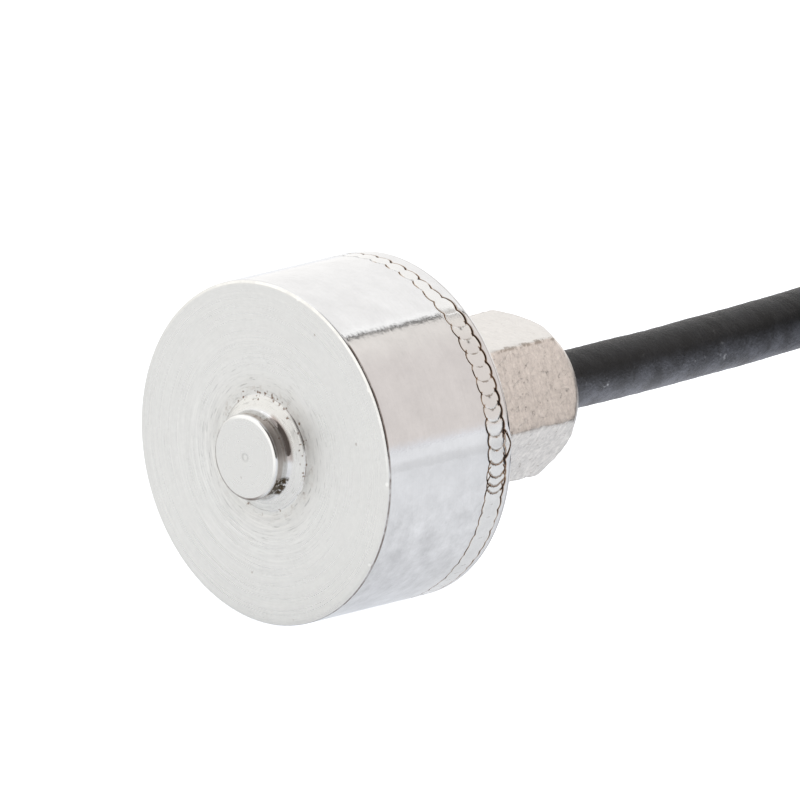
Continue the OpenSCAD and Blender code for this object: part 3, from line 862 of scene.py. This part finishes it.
class Graph:
    """A small wrapper to build node trees."""

    def __init__(self, tree):
        self.tree = tree
        tree.nodes.clear()

    def add(self, kind, values=None, out=0, **props):
        """One output of a new node; values are its inputs, as numbers or as outputs of other nodes."""
        node = self.tree.nodes.new(kind)
        for key, value in props.items():
            setattr(node, key, value)
        for key, value in (values or {}).items():
            if isinstance(value, bpy.types.NodeSocket):
                self.tree.links.new(value, node.inputs[key])
            else:
                node.inputs[key].default_value = value
        return node.outputs[out] if node.outputs else None

    def locate(self):
        """Object coordinates in millimetres, the distance from the load axis and the angle round it."""
        at = self.add("ShaderNodeTexCoord", out="Object")
        self.place = self.add("ShaderNodeVectorMath", {0: at, "Scale": 1 / MM}, operation="SCALE")
        self.x, self.y, self.z = self.split(self.place)
        level = self.math("SUBTRACT", self.z, AXIS_Z)
        squares = self.math("ADD", self.times(self.x, self.x), self.times(level, level))
        self.r = self.math("SQRT", squares)
        self.angle = self.math("ARCTAN2", level, self.x)

    def math(self, op, a, b=0.0, c=0.0):
        return self.add("ShaderNodeMath", {0: a, 1: b, 2: c}, operation=op)

    def times(self, product, *factors):
        for factor in factors:
            product = self.math("MULTIPLY", product, factor)
        return product

    def plus(self, base, value, gain):
        """Base and gain times value."""
        return self.math("MULTIPLY_ADD", value, gain, base)

    def about(self, base, noise, gain):
        """Base and gain times a noise that swings both ways."""
        return self.plus(base, self.math("SUBTRACT", noise, 0.5), gain)

    def span(self, value, lo, hi, to_lo=0.0, to_hi=1.0):
        """Value eased from one range to another and held outside it."""
        values = {"Value": value, "From Min": lo, "From Max": hi, "To Min": to_lo, "To Max": to_hi}
        return self.add("ShaderNodeMapRange", values, interpolation_type="SMOOTHSTEP")

    def window(self, value, lo, full_lo, full_hi, hi):
        """One between the two full limits, eased to nothing at the outer ones."""
        return self.times(self.span(value, lo, full_lo), self.span(value, hi, full_hi))

    def towards(self, middle, lo, hi, to_lo=0.0, to_hi=1.0):
        """Span over the cosine of the angle from a middle direction round the load axis."""
        cosine = self.math("COSINE", self.math("SUBTRACT", self.angle, middle))
        return self.span(cosine, lo, hi, to_lo, to_hi)

    def noise(self, scale, detail=3.0, rough=0.55, vector=None, out=0):
        values = {"Vector": vector or self.place, "Scale": scale, "Detail": detail, "Roughness": rough}
        return self.add("ShaderNodeTexNoise", values, out=out)

    def drawn(self, first, second, third, detail=3.0, rough=0.55):
        """Noise drawn out: the first two directions are pairs of a value and its scale."""
        vector = self.vector(self.times(*first), self.times(*second), third)
        return self.noise(1.0, detail, rough, vector)

    def line_noise(self, w, scale, detail):
        values = {"W": w, "Scale": scale, "Detail": detail}
        return self.add("ShaderNodeTexNoise", values, noise_dimensions="1D")

    def cells(self, vector, scale, out="Distance"):
        return self.add("ShaderNodeTexVoronoi", {"Vector": vector, "Scale": scale}, out=out)

    def blend(self, factor, a, b, mode="MIX"):
        return self.add("ShaderNodeMix", {0: factor, 6: a, 7: b}, out=2, data_type="RGBA", blend_type=mode)

    def fade(self, factor, a, b):
        """Blend of two plain values."""
        return self.add("ShaderNodeMix", {0: factor, 2: a, 3: b})

    def shade(self, colour, tone):
        return self.blend(1.0, colour, self.vector(tone, tone, tone), "MULTIPLY")

    def vector(self, x, y, z):
        return self.add("ShaderNodeCombineXYZ", {0: x, 1: y, 2: z})

    def split(self, vector):
        node = self.tree.nodes.new("ShaderNodeSeparateXYZ")
        self.tree.links.new(vector, node.inputs[0])
        return node.outputs[0], node.outputs[1], node.outputs[2]

    def normal(self):
        return self.split(self.add("ShaderNodeNewGeometry", out="Normal"))

    def mark(self, name):
        return self.add("ShaderNodeAttribute", attribute_name=name, out="Fac")

    def bump(self, height, depth_mm):
        return self.add("ShaderNodeBump", {"Height": height, "Distance": depth_mm * MM, "Strength": 1.0})

    def surface(self, **values):
        """The material, with a principled surface; keys are the socket names with _ for a space."""
        shader = self.add("ShaderNodeBsdfPrincipled", {k.replace("_", " "): v for k, v in values.items()})
        self.add("ShaderNodeOutputMaterial", {"Surface": shader})
        return self.made


def material(name):
    """The graph of a new material."""
    made = bpy.data.materials.new(name)
    made.use_nodes = True
    g = Graph(made.node_tree)
    g.made = made
    g.locate()
    return g


# Steel of the body: turned faces, polished side, pits round the button's root

STEEL = (0.735, 0.738, 0.748, 1)
STEEL_FACE = (0.765, 0.76, 0.735, 1)
WALL_REFLECTION_BROWN = (0.47, 0.41, 0.38, 1)
CRUST_BROWN = (0.075, 0.058, 0.038, 1)
SMEAR_BROWN = (0.36, 0.29, 0.23, 1)
DIRT_BROWN = (0.19, 0.11, 0.065, 1)
SHADE_AND_STAIN_BROWN = (0.13, 0.09, 0.07, 1)
STEEL_GRAIN = 0.0035

# Directions round the load axis, from the right side upwards
LOW_LEFT = radians(-135)
UP_RIGHT = radians(50)
RIM_REFLECTION_MIDDLE = radians(-25)
EDGE_GLINT_MIDDLE = radians(62)
WALL_REFLECTION_MIDDLE = radians(34)
CRUST_MIDDLE = radians(-37)
FOOT_MIDDLE = radians(31.5)

# Distances from the load axis of the dents' painted highlights, and how far scratches and arcs reach
NICK_R = BODY_R - 0.09
SCRATCH_FULL_R = 2.3
SCRATCH_END_R = 4.2
ARC_FULL_R = 2.4
ARC_END_R = 5.2

# Cells to a millimetre of the pits and of the few larger specks
PIT_SCALE = 8.5
SPECK_SCALE = 2.0
PIT_BEND = (0.12, 0.12, 0.12)


def side_texture(g):
    """Tone, height and streaks of the ground side: fine marks round it, soft clouds and a faint grain."""
    streaks = g.drawn((g.y, 15.0), (g.angle, 1.6), 0.0, 5.0, 0.65)
    wave = g.drawn((g.y, 3.0), (g.angle, 2.4), 5.0)
    cloud = g.noise(1.1, 5.0, 0.66)
    grain = g.noise(7.0, 4.0, 0.65)
    patchy = g.noise(1.3, 5.0, 0.68)
    tone = g.about(1.0, streaks, 0.09)
    tone = g.about(tone, cloud, 0.25)
    tone = g.about(tone, grain, 0.07)
    tone = g.about(tone, patchy, g.span(g.angle, 0.1, -0.4, 0.0, 0.70))
    height = g.plus(g.times(streaks, 0.35), cloud, 1.6)
    height = g.plus(height, wave, 1.4)
    return tone, g.plus(height, grain, 0.16), streaks


def turning_marks(g):
    """Rings of the turned face, longer arcs among them and the scratches round the button."""
    rings = g.line_noise(g.plus(g.r, g.noise(0.8), 0.06), 13.0, 4.0)
    arcs = g.drawn((g.r, 9.0), (g.angle, 1.6), 0.0, 4.0)
    scratch = g.span(g.drawn((g.r, 17.0), (g.angle, 4.2), 3.0, 3.0, 0.6), 0.58, 0.68)
    near = g.window(g.r, BUTTON_R + 0.1, BUTTON_R + 0.4, SCRATCH_FULL_R, SCRATCH_END_R)
    return rings, arcs, g.times(scratch, near)


def edge_highlight(g):
    """Painted highlight on the worn flat of the front edge, strongest towards the upper right and broken up
    by noise, and on the dents in it.
    """
    edge_glint = g.times(g.span(g.r, EDGE_FLAT_IN - 0.01, EDGE_FLAT_IN + 0.02),
                    g.towards(EDGE_GLINT_MIDDLE, 0.30, 0.90), g.span(g.noise(1.7, 4.0, 0.7), 0.35, 0.6, 0.45, 1.0))
    for turn, size in NICKS.items():
        at = round_axis(NICK_R, radians(turn), RIM_Y)
        off = g.add("ShaderNodeVectorMath", {0: g.place, 1: at}, out="Value", operation="DISTANCE")
        edge_glint = g.math("MAXIMUM", edge_glint, g.span(off, size * 1.1, size * 0.6, 0.0, 0.8))
    return edge_glint


def face_tone(g, rings, arcs, scratch, plain):
    """Tone of the turned faces: marks and clouds, a painted highlight on the button's edge, the pip, and the
    painted highlight on the front edge.
    """
    arc_gain = g.times(g.span(g.r, ARC_END_R, ARC_FULL_R, 0.10, 0.30),
                       g.towards(LOW_LEFT, -0.5, 0.9, 0.55, 1.7))
    tone = g.about(0.98, rings, 0.08)
    tone = g.about(tone, arcs, arc_gain)
    tone = g.about(tone, g.noise(0.6, 4.0), 0.07)
    tone = g.about(tone, g.noise(4.5, 4.0, 0.7), 0.13)
    tone = g.plus(g.fade(plain, tone, 0.97), scratch, -0.26)
    # Painted highlight on the button's edge, towards the upper right
    button_glint = g.times(g.window(g.r, BUTTON_R - 0.17, BUTTON_R - 0.11, BUTTON_R - 0.02, BUTTON_R + 0.01),
                   g.towards(UP_RIGHT, 0.2, 0.75), g.span(g.y, TIP_Y + 0.10, TIP_Y + 0.06))
    tone = g.plus(tone, button_glint, 0.30)
    pip = g.times(g.window(g.r, PIP_R * 0.4, PIP_R * 0.6, PIP_R * 0.85, PIP_R * 1.15),
                  g.span(g.noise(5.0), 0.35, 0.65, 0.3, 1.0))
    tone = g.plus(tone, pip, -0.22)
    # Painted highlight on the front edge and on its dents
    return g.plus(tone, edge_highlight(g), 0.27)


def root_dirt(g):
    """Pits round the button's root with a few specks elsewhere, and the smear beside the pits."""
    bend = g.noise(9.0, 2.0, out="Color")
    bent = g.add("ShaderNodeVectorMath", {0: bend, 1: PIT_BEND, 2: g.place}, operation="MULTIPLY_ADD")
    chance = g.times(g.window(g.r, ROOT_R - 0.24, ROOT_R - 0.04, ROOT_R, ROOT_R + 0.33),
                     g.towards(UP_RIGHT, -0.2, 0.8, 0.25, 1.0))
    pit_rand = g.split(g.cells(bent, PIT_SCALE, "Color"))[0]
    pit_edge = g.math("SUBTRACT", g.cells(bent, PIT_SCALE), g.span(pit_rand, 0.4, 1.0, 0.2, 0.5))
    pits = g.times(g.span(pit_edge, 0.0, -0.16), g.span(g.plus(pit_rand, chance, 0.50), 1.02, 1.12), 0.85)
    on_button = g.span(g.r, BUTTON_R - 0.1, BUTTON_R - 0.2)
    speck_rand = g.plus(g.split(g.cells(bent, SPECK_SCALE, "Color"))[0], on_button, 0.2)
    specks = g.times(g.span(g.cells(bent, SPECK_SCALE), 0.13, 0.06), g.span(speck_rand, 0.93, 0.95), 0.4)
    smear = g.times(g.span(g.noise(3.2, 4.0, 0.7, bent), 0.52, 0.70),
                    g.window(g.r, ROOT_R - 0.12, ROOT_R, ROOT_R + 0.03, ROOT_R + 0.73), 0.35)
    return g.math("MAXIMUM", pits, specks), smear


def dark_lines(g):
    """Thin dark lines: a painted dark reflection on the right side of the front edge, painted shade on the
    lower left of the button's rim, and lines on the rear edge and a stain at the foot of the root.
    """
    breakup = g.span(g.noise(1.3, 4.0, 0.7), 0.3, 0.6, 0.25, 1.0)
    # Painted dark reflection along the front edge, on its right side only
    rim = g.times(g.window(g.y, RIM_Y + 0.04, RIM_Y + 0.06, RIM_Y + 0.11, RIM_Y + 0.14),
                  g.span(g.r, BODY_R - 0.05, BODY_R - 0.03), g.towards(RIM_REFLECTION_MIDDLE, 0.20, 0.32))
    # Painted shade along the lower left of the button's rim
    tip = g.times(g.span(g.r, BUTTON_R - 0.105, BUTTON_R - 0.085), g.span(g.y, TIP_Y + 0.14, TIP_Y + 0.10),
                  g.towards(LOW_LEFT, 0.0, 0.5))
    rear = g.window(g.y, SEAT_Y - 0.19, SEAT_Y - 0.16, SEAT_Y - 0.14, SEAT_Y - 0.11)
    foot = g.times(g.window(g.r, ROOT_R - 0.02, ROOT_R - 0.005, ROOT_R + 0.005, ROOT_R + 0.025),
                   g.towards(FOOT_MIDDLE, 0.45, 0.8),
                   g.span(g.noise(2.6, 4.0, 0.7), 0.36, 0.62, 0.1, 0.75))
    lines = g.times(g.math("MAXIMUM", rim, tip), breakup, 0.85)
    lines = g.math("MAXIMUM", lines, g.times(rear, breakup, 0.4))
    return g.math("MAXIMUM", lines, foot)


def wall_reflection_and_crust(g, clean):
    """Painted dark reflection in brown on the button's wall, and the dark crust low on it."""
    band = g.times(g.span(g.r, BUTTON_R + 0.03, BUTTON_R + 0.01),
                   g.span(g.y, TIP_Y + 0.36, TIP_Y + 0.28), 0.9)
    # Painted dark reflection over the angles where the wall mirrors dark surroundings
    wall_reflection = g.times(g.math("MAXIMUM", g.towards(WALL_REFLECTION_MIDDLE, 0.80, 0.88), band),
                   g.span(g.r, BUTTON_R + 0.2, BUTTON_R + 0.1), g.span(g.y, TIP_Y + 0.08, TIP_Y + 0.13),
                   g.span(g.line_noise(g.y, 14.0, 3.0), 0.35, 0.6, 0.45, 0.9))
    crust = g.times(g.towards(CRUST_MIDDLE, 0.95, 0.975), g.span(g.r, BUTTON_R + 0.12, BUTTON_R + 0.06),
                    g.span(g.y, TIP_Y + 0.10, TIP_Y + 0.15),
                    g.span(g.noise(5.5, 4.0, 0.7), 0.38, 0.50))
    return g.blend(crust, g.blend(wall_reflection, clean, WALL_REFLECTION_BROWN), CRUST_BROWN)


def steel_material():
    """Turned and ground steel of the cup and the cover."""
    g = material("body_steel")
    facing = g.span(g.math("ABSOLUTE", g.normal()[1]), 0.6, 0.9)
    plain = g.span(g.r, BUTTON_R + 0.1, BUTTON_R, 0.0, 0.9)
    side_tone, side_h, streaks = side_texture(g)
    rings, arcs, scratch = turning_marks(g)
    pits, smear = root_dirt(g)
    dirt = g.times(pits, facing)
    tone = g.fade(facing, side_tone, face_tone(g, rings, arcs, scratch, plain))
    clean = g.shade(g.blend(facing, STEEL, STEEL_FACE), tone)
    # The button's wall gets its painted dark reflection and its crust
    colour = g.blend(smear, wall_reflection_and_crust(g, clean), SMEAR_BROWN)
    colour = g.blend(dirt, colour, DIRT_BROWN)
    # Dark lines: painted dark reflection and painted shade on the edges, a stain at the root's foot
    colour = g.blend(dark_lines(g), colour, SHADE_AND_STAIN_BROWN)
    beside_root = g.window(g.r, ROOT_R, ROOT_R + 0.1, ROOT_R + 0.3, ROOT_R + 1.0)
    face_rough = g.span(g.math("ADD", arcs, rings), 0.5, 1.5, 0.24, 0.42)
    face_rough = g.times(face_rough, g.plus(0.95, beside_root, 0.6))
    rough = g.fade(facing, g.span(streaks, 0.3, 0.75, 0.05, 0.10), face_rough)
    face_h = g.plus(g.plus(rings, dirt, -3.0), g.line_noise(g.r, 55.0, 2.0), 0.3)
    face_h = g.times(g.math("SUBTRACT", face_h, scratch), g.plus(1.0, plain, -0.8))
    height = g.fade(facing, side_h, face_h)
    return g.surface(Base_Color=colour, Metallic=1.0, Roughness=rough, Normal=g.bump(height, STEEL_GRAIN))


# Weld: heat colours by the strength of a mark, from where each starts to where it is full

BEAD_PALE = (0.80, 0.795, 0.775, 1)
SPECK_GREY = (0.07, 0.07, 0.06, 1)
RING_COLOURS = [(0.03, 0.22, (0.40, 0.375, 0.35, 1)), (0.40, 0.70, (0.24, 0.125, 0.06, 1)),
                (0.75, 1.0, (0.06, 0.035, 0.02, 1))]
BORDER_COLOURS = [(0.08, 0.36, (0.45, 0.35, 0.27, 1)), (0.34, 0.62, (0.17, 0.10, 0.06, 1)),
                  (0.62, 0.92, (0.025, 0.02, 0.018, 1))]


def heat_colours(g, colour, strength, colours):
    for start, full, burnt in colours:
        colour = g.blend(g.span(strength, start, full), colour, burnt)
    return colour


def weld_material():
    """Steel of the bead with the heat marks that its points carry."""
    g = material("weld_steel")
    border, ring, speck, spot = (g.mark(name) for name in ("border", "ring", "speck", "spot"))
    fine = g.noise(18.0)
    side_tone, side_h, _ = side_texture(g)
    uneven = g.span(g.plus(g.noise(1.4), fine, 0.5), 0.45, 0.95, 0.6, 1.2)
    heat = g.times(border, uneven)
    colour = g.blend(g.times(spot, 0.85), g.shade(STEEL, side_tone), BEAD_PALE)
    colour = heat_colours(g, colour, g.times(ring, g.span(fine, 0.36, 0.60, 0.4, 1.2)), RING_COLOURS)
    colour = g.blend(g.times(speck, g.span(fine, 0.30, 0.50, 0.6, 1.0)), colour, SPECK_GREY)
    colour = heat_colours(g, colour, heat, BORDER_COLOURS)
    rough = g.span(heat, 0.0, 0.8, 0.14, 0.5)
    height = g.plus(side_h, fine, 0.5)
    return g.surface(Base_Color=colour, Metallic=1.0, Roughness=rough, Normal=g.bump(height, STEEL_GRAIN))


# Gland: dull metal, rougher where it doesn't face up, with a painted warm reflection on the flat that faces
# the viewer

FLAT_WARM_REFLECTION = (0.83, 0.775, 0.73, 1)
FLAT_COOL = (0.785, 0.765, 0.745, 1)
PIT_BROWN = (0.30, 0.24, 0.20, 1)
KNOCK_BROWN = (0.30, 0.25, 0.21, 1)
GLAND_GRAIN = 0.012
MID_FLAT = sin(radians(30 + HEX_TURN))
CORNER_AT = HEX_CORNER - 0.025


def gland_material():
    """Sawn and tumbled bar with pits, slanting scratches and knocked corners."""
    g = material("gland_metal")
    up_facing = g.normal()[2]
    coarse = g.span(up_facing, 0.9, 0.5, 0.35, 1.0)
    grain = g.noise(6.0, 5.0, 0.75)
    cloud = g.noise(1.6, 4.0)
    across = g.drawn((g.x, 3.0), (g.y, 9.0), g.times(g.z, 2.2), 4.0, 0.7)
    slant = g.plus(g.math("SUBTRACT", g.x, g.z), g.y, 0.8)
    scratch = g.span(g.drawn((slant, 6.0), (g.y, 0.9), g.z, 4.0, 0.7), 0.58, 0.70)
    pits = g.times(g.span(g.noise(5.0, 4.0, 0.8), 0.60, 0.68), coarse)
    uneven = g.about(0.0, grain, 0.95)
    uneven = g.about(uneven, across, 0.55)
    uneven = g.about(uneven, cloud, 0.30)
    uneven = g.plus(uneven, scratch, 0.12)
    off_mid = g.math("ABSOLUTE", g.math("SUBTRACT", up_facing, MID_FLAT))
    # Painted warm reflection on the flat that faces the viewer
    tint = g.blend(g.span(off_mid, 0.2, 0.5), FLAT_WARM_REFLECTION, FLAT_COOL)
    knocked = g.times(g.span(g.r, CORNER_AT - 0.05, CORNER_AT - 0.01), g.span(g.angle, 0.2, 0.5, 0.4, 1.0),
                      g.span(g.noise(3.5, 4.0, 0.7), 0.47, 0.57), 0.7)
    colour = g.shade(tint, g.plus(0.97, uneven, coarse))
    colour = g.blend(g.times(pits, 0.6), colour, PIT_BROWN)
    colour = g.blend(knocked, colour, KNOCK_BROWN)
    rough = g.span(g.math("ADD", grain, cloud), 0.6, 1.4, 0.34, 0.52)
    height = g.math("SUBTRACT", g.plus(grain, across, 0.6), g.plus(pits, scratch, 0.5))
    return g.surface(Base_Color=colour, Metallic=1.0, Roughness=rough, Normal=g.bump(height, GLAND_GRAIN))


# Jacket, plastics, wires and the board

JACKET_DARK = (0.014, 0.014, 0.015, 1)
JACKET_HAZE = (0.028, 0.0285, 0.032, 1)
JACKET_SMUDGE = (0.20, 0.20, 0.20, 1)
JACKET_SHEEN = (0.86, 0.86, 0.88, 1)
JACKET_GRAIN = 0.03
MASK_DARK = (0.012, 0.10, 0.045, 1)
MASK_LIGHT = (0.02, 0.15, 0.07, 1)
WEAVE = 21.0
WEAVE_DEPTH = 0.004
TARNISH = (0.5, 0.45, 0.4)


def jacket_material():
    """Black cable jacket with a dull haze and a few pale smudges."""
    g = material("jacket")
    bumps = g.noise(9.0, 4.0, 0.7)
    haze = g.span(g.math("ADD", bumps, g.noise(1.2)), 0.75, 1.3)
    smudge = g.times(g.span(g.noise(0.9, 5.0, 0.75), 0.60, 0.72), g.span(bumps, 0.4, 0.7), 0.6)
    colour = g.blend(smudge, g.blend(haze, JACKET_DARK, JACKET_HAZE), JACKET_SMUDGE)
    return g.surface(Base_Color=colour, Roughness=g.span(bumps, 0.3, 0.7, 0.42, 0.58),
                     Normal=g.bump(bumps, JACKET_GRAIN), Specular_IOR_Level=0.28, Sheen_Weight=0.3,
                     Sheen_Roughness=0.2, Sheen_Tint=JACKET_SHEEN)


def plastic_material(name, colour, rough=0.45, scale=6.0, depth=0.006, shade=0.8, **extra):
    """Moulded or extruded plastic with a faint grain and uneven tone."""
    g = material(name)
    grain = g.noise(scale * 3)
    cloud = g.span(g.plus(g.noise(scale / 4), grain, 0.3), 0.4, 0.9)
    base = g.blend(cloud, tuple(shade * c for c in colour) + (1,), colour + (1,))
    return g.surface(Base_Color=base, Roughness=g.span(grain, 0.3, 0.7, rough - 0.08, rough + 0.1),
                     Normal=g.bump(grain, depth), **extra)


def metal_material(name, colour, rough=0.25, scale=6.0, depth=0.004):
    """Bare metal with drawing marks and slight tarnish."""
    g = material(name)
    grain = g.noise(scale * 3, 4.0, 0.6)
    stained = tuple(c * t for c, t in zip(colour, TARNISH)) + (1,)
    base = g.blend(g.span(g.noise(scale / 3), 0.45, 0.8), colour + (1,), stained)
    return g.surface(Base_Color=base, Metallic=1.0, Normal=g.bump(grain, depth),
                     Roughness=g.span(grain, 0.3, 0.7, rough - 0.08, rough + 0.12))


def board_material():
    """Green solder mask with the glass weave showing through."""
    g = material("board")
    weave = g.times(g.math("SINE", g.times(g.x, WEAVE)), g.math("SINE", g.times(g.z, WEAVE)))
    base = g.blend(g.span(weave, -0.6, 0.6), MASK_DARK, MASK_LIGHT)
    return g.surface(Base_Color=base, Roughness=g.span(weave, -1, 1, 0.3, 0.42),
                     Normal=g.bump(weave, WEAVE_DEPTH))


def put(piece, made):
    piece.data.materials.clear()
    piece.data.materials.append(made)


STEEL_MADE = steel_material()
NYLON = plastic_material("tie_nylon", (0.78, 0.78, 0.74), 0.4, Subsurface_Weight=0.2, Subsurface_Scale=0.0005)
TINNED = metal_material("tinned_wire", (0.72, 0.72, 0.73), 0.3)
CORES = {"red": (0.52, 0.025, 0.02), "black": (0.018, 0.018, 0.02), "green": (0.02, 0.24, 0.07),
         "white": (0.78, 0.78, 0.75)}
CORES_MADE = {core: plastic_material("insulation_" + core, CORES[core], 0.42, 8.0) for core in CORES}
put(body, STEEL_MADE)
put(cover, STEEL_MADE)
put(bead, weld_material())
put(gland, gland_material())
put(jacket, jacket_material())
put(strap, NYLON)
put(head, NYLON)
for piece in end_pieces:
    put(piece, TINNED if "tip" in piece.name else CORES_MADE[piece.name.split("_")[-1]])

# Inner CAD nodes keep their shape and get their own surfaces
CHIP = plastic_material("chip", (0.03, 0.03, 0.034), 0.35)
FILM = plastic_material("gauge_film", (0.62, 0.30, 0.06), 0.25, 4.0, 0.002, Coat_Weight=0.4)
FOIL = metal_material("gauge_foil", (0.66, 0.48, 0.34), 0.28)
INNER = {"potting_plug": plastic_material("epoxy", (0.02, 0.02, 0.024), 0.2, 3.0, 0.003, Coat_Weight=0.3),
         "crimp_ring": metal_material("crimp_brass", (0.78, 0.58, 0.27), 0.24),
         "terminal_board": board_material(),
         "solder_joints": metal_material("solder", (0.74, 0.74, 0.76), 0.18),
         "jumper_wires": metal_material("copper", (0.78, 0.40, 0.24), 0.25)}
for node in ("zero_trim_resistor", "span_trim_resistor", "tempco_resistor"):
    INNER[node] = CHIP
for k in range(1, 5):
    INNER["gauge_film_%d" % k] = FILM
    INNER["gauge_grid_%d" % k] = FOIL
for core in CORES:
    INNER["core_" + core] = CORES_MADE[core]
for node, made in INNER.items():
    put(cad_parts[node], made)

# Floor, light and surroundings

FLOOR_R_M = 3.0
FLOOR_GREY = (0.46, 0.465, 0.47, 1)
FLOOR_PALE = (0.48, 0.48, 0.485, 1)
FLOOR_GLOW = (0.955, 0.98, 1.02, 1)
GLOW = 0.59
GLOW_DIP = 0.12
WHITE = (1.0, 1.0, 1.0, 1)
SKY = (1.15, 1.135, 1.115, 1)
STRIP = (1.28, 1.27, 1.25, 1)
ZENITH = (0.35, 0.35, 0.35, 1)
WALL_NEAR = (1.0, 0.95, 0.90, 1)
WALL_FAR = (0.89, 0.83, 0.795, 1)
WALL_FOOT = (0.95, 0.96, 1.0, 1)
EDGE_DARK = (0.06, 0.055, 0.05, 1)
VIEWER_DARK = (0.07, 0.058, 0.05, 1)


def floor_piece():
    """Round pale floor, plain white to the camera, with a dimmer ring behind the part in mirrors."""
    shape = bmesh.new()
    bmesh.ops.create_circle(shape, cap_ends=True, radius=FLOOR_R_M, segments=96)
    mesh = bpy.data.meshes.new("floor")
    shape.to_mesh(mesh)
    shape.free()
    piece = new_object("floor", mesh)
    g = material("floor")
    seen = g.add("ShaderNodeLightPath", out="Is Camera Ray")
    far = g.add("ShaderNodeVectorMath", {0: g.place}, out="Value", operation="LENGTH")
    dip = g.times(g.window(far, 34.0, 40.0, 55.0, 75.0), g.span(g.y, -5.0, 5.0))
    glow = g.fade(seen, g.plus(GLOW, dip, -GLOW_DIP), 1.0)
    put(piece, g.surface(Base_Color=g.blend(g.noise(0.02), FLOOR_GREY, FLOOR_PALE), Roughness=0.85,
                         Emission_Color=FLOOR_GLOW, Emission_Strength=glow))


def softbox(name, place, target, size, power, colour=(1, 1, 1), mirrored=True, only=None):
    """A soft box in metres that looks at a target; only names the one piece that it lights."""
    lamp = bpy.data.lights.new(name, "AREA")
    lamp.shape = "RECTANGLE"
    lamp.size, lamp.size_y = size
    lamp.energy = power
    lamp.color = colour
    piece = new_object(name, lamp)
    piece.location = place
    piece.rotation_mode = "QUATERNION"
    piece.rotation_quaternion = (Vector(target) - Vector(place)).to_track_quat("-Z", "Y")
    piece.visible_glossy = mirrored
    if only:
        group = bpy.data.collections.new(name + "_reach")
        group.objects.link(only)
        piece.light_linking.receiver_collection = group
        piece.light_linking.blocker_collection = group


def surroundings():
    """White sky, a light strip, a warm grey wall with a dark edge at the right and the dark camera side."""
    world = bpy.data.worlds.new("surroundings")
    world.use_nodes = True
    g = Graph(world.node_tree)
    x, y, height = g.split(g.add("ShaderNodeTexCoord", out="Generated"))
    behind = g.span(y, -0.15, 0.15)
    wall = g.blend(g.span(x, 0.15, 0.45), WALL_NEAR, WALL_FAR)
    wall = g.blend(g.span(height, 0.08, -0.02), wall, WALL_FOOT)
    sky = g.blend(g.times(g.span(x, 0.07, 0.13), behind, g.span(height, 0.92, 0.82)), SKY, wall)
    sky = g.blend(g.times(g.window(x, 0.0, 0.05, 0.07, 0.085), behind), sky, STRIP)
    edge = g.times(g.window(x, 0.072, 0.088, 0.106, 0.122), behind, g.span(height, 0.9, 0.8), 0.95)
    sky = g.blend(edge, sky, EDGE_DARK)
    zenith = g.times(g.span(height, 0.78, 0.88), g.span(y, -0.35, -0.15, 0.0, 0.65))
    sky = g.blend(zenith, sky, ZENITH)
    viewer_side = g.times(g.span(g.plus(x, height, 0.6), 0.40, 0.52), g.span(y, 0.20, 0.0), 0.93)
    sky = g.blend(viewer_side, sky, VIEWER_DARK)
    sky = g.blend(g.add("ShaderNodeLightPath", out="Is Camera Ray"), sky, WHITE)
    shader = g.add("ShaderNodeBackground", {"Color": sky, "Strength": 1.0})
    g.add("ShaderNodeOutputWorld", {"Surface": shader})
    bpy.context.scene.world = world


floor_piece()
surroundings()
softbox("key", place=(-0.05, 0.02, 0.5), target=(0, 0, 0), size=(0.5, 0.5), power=0.4)
softbox("fill", place=(0.11, -0.05, -0.26), target=(0, 0.012, 0.005), size=(0.16, 0.08), power=6.6,
        colour=(0.93, 0.955, 1.0), mirrored=False, only=jacket)
bpy.context.scene.view_settings.view_transform = "Standard"
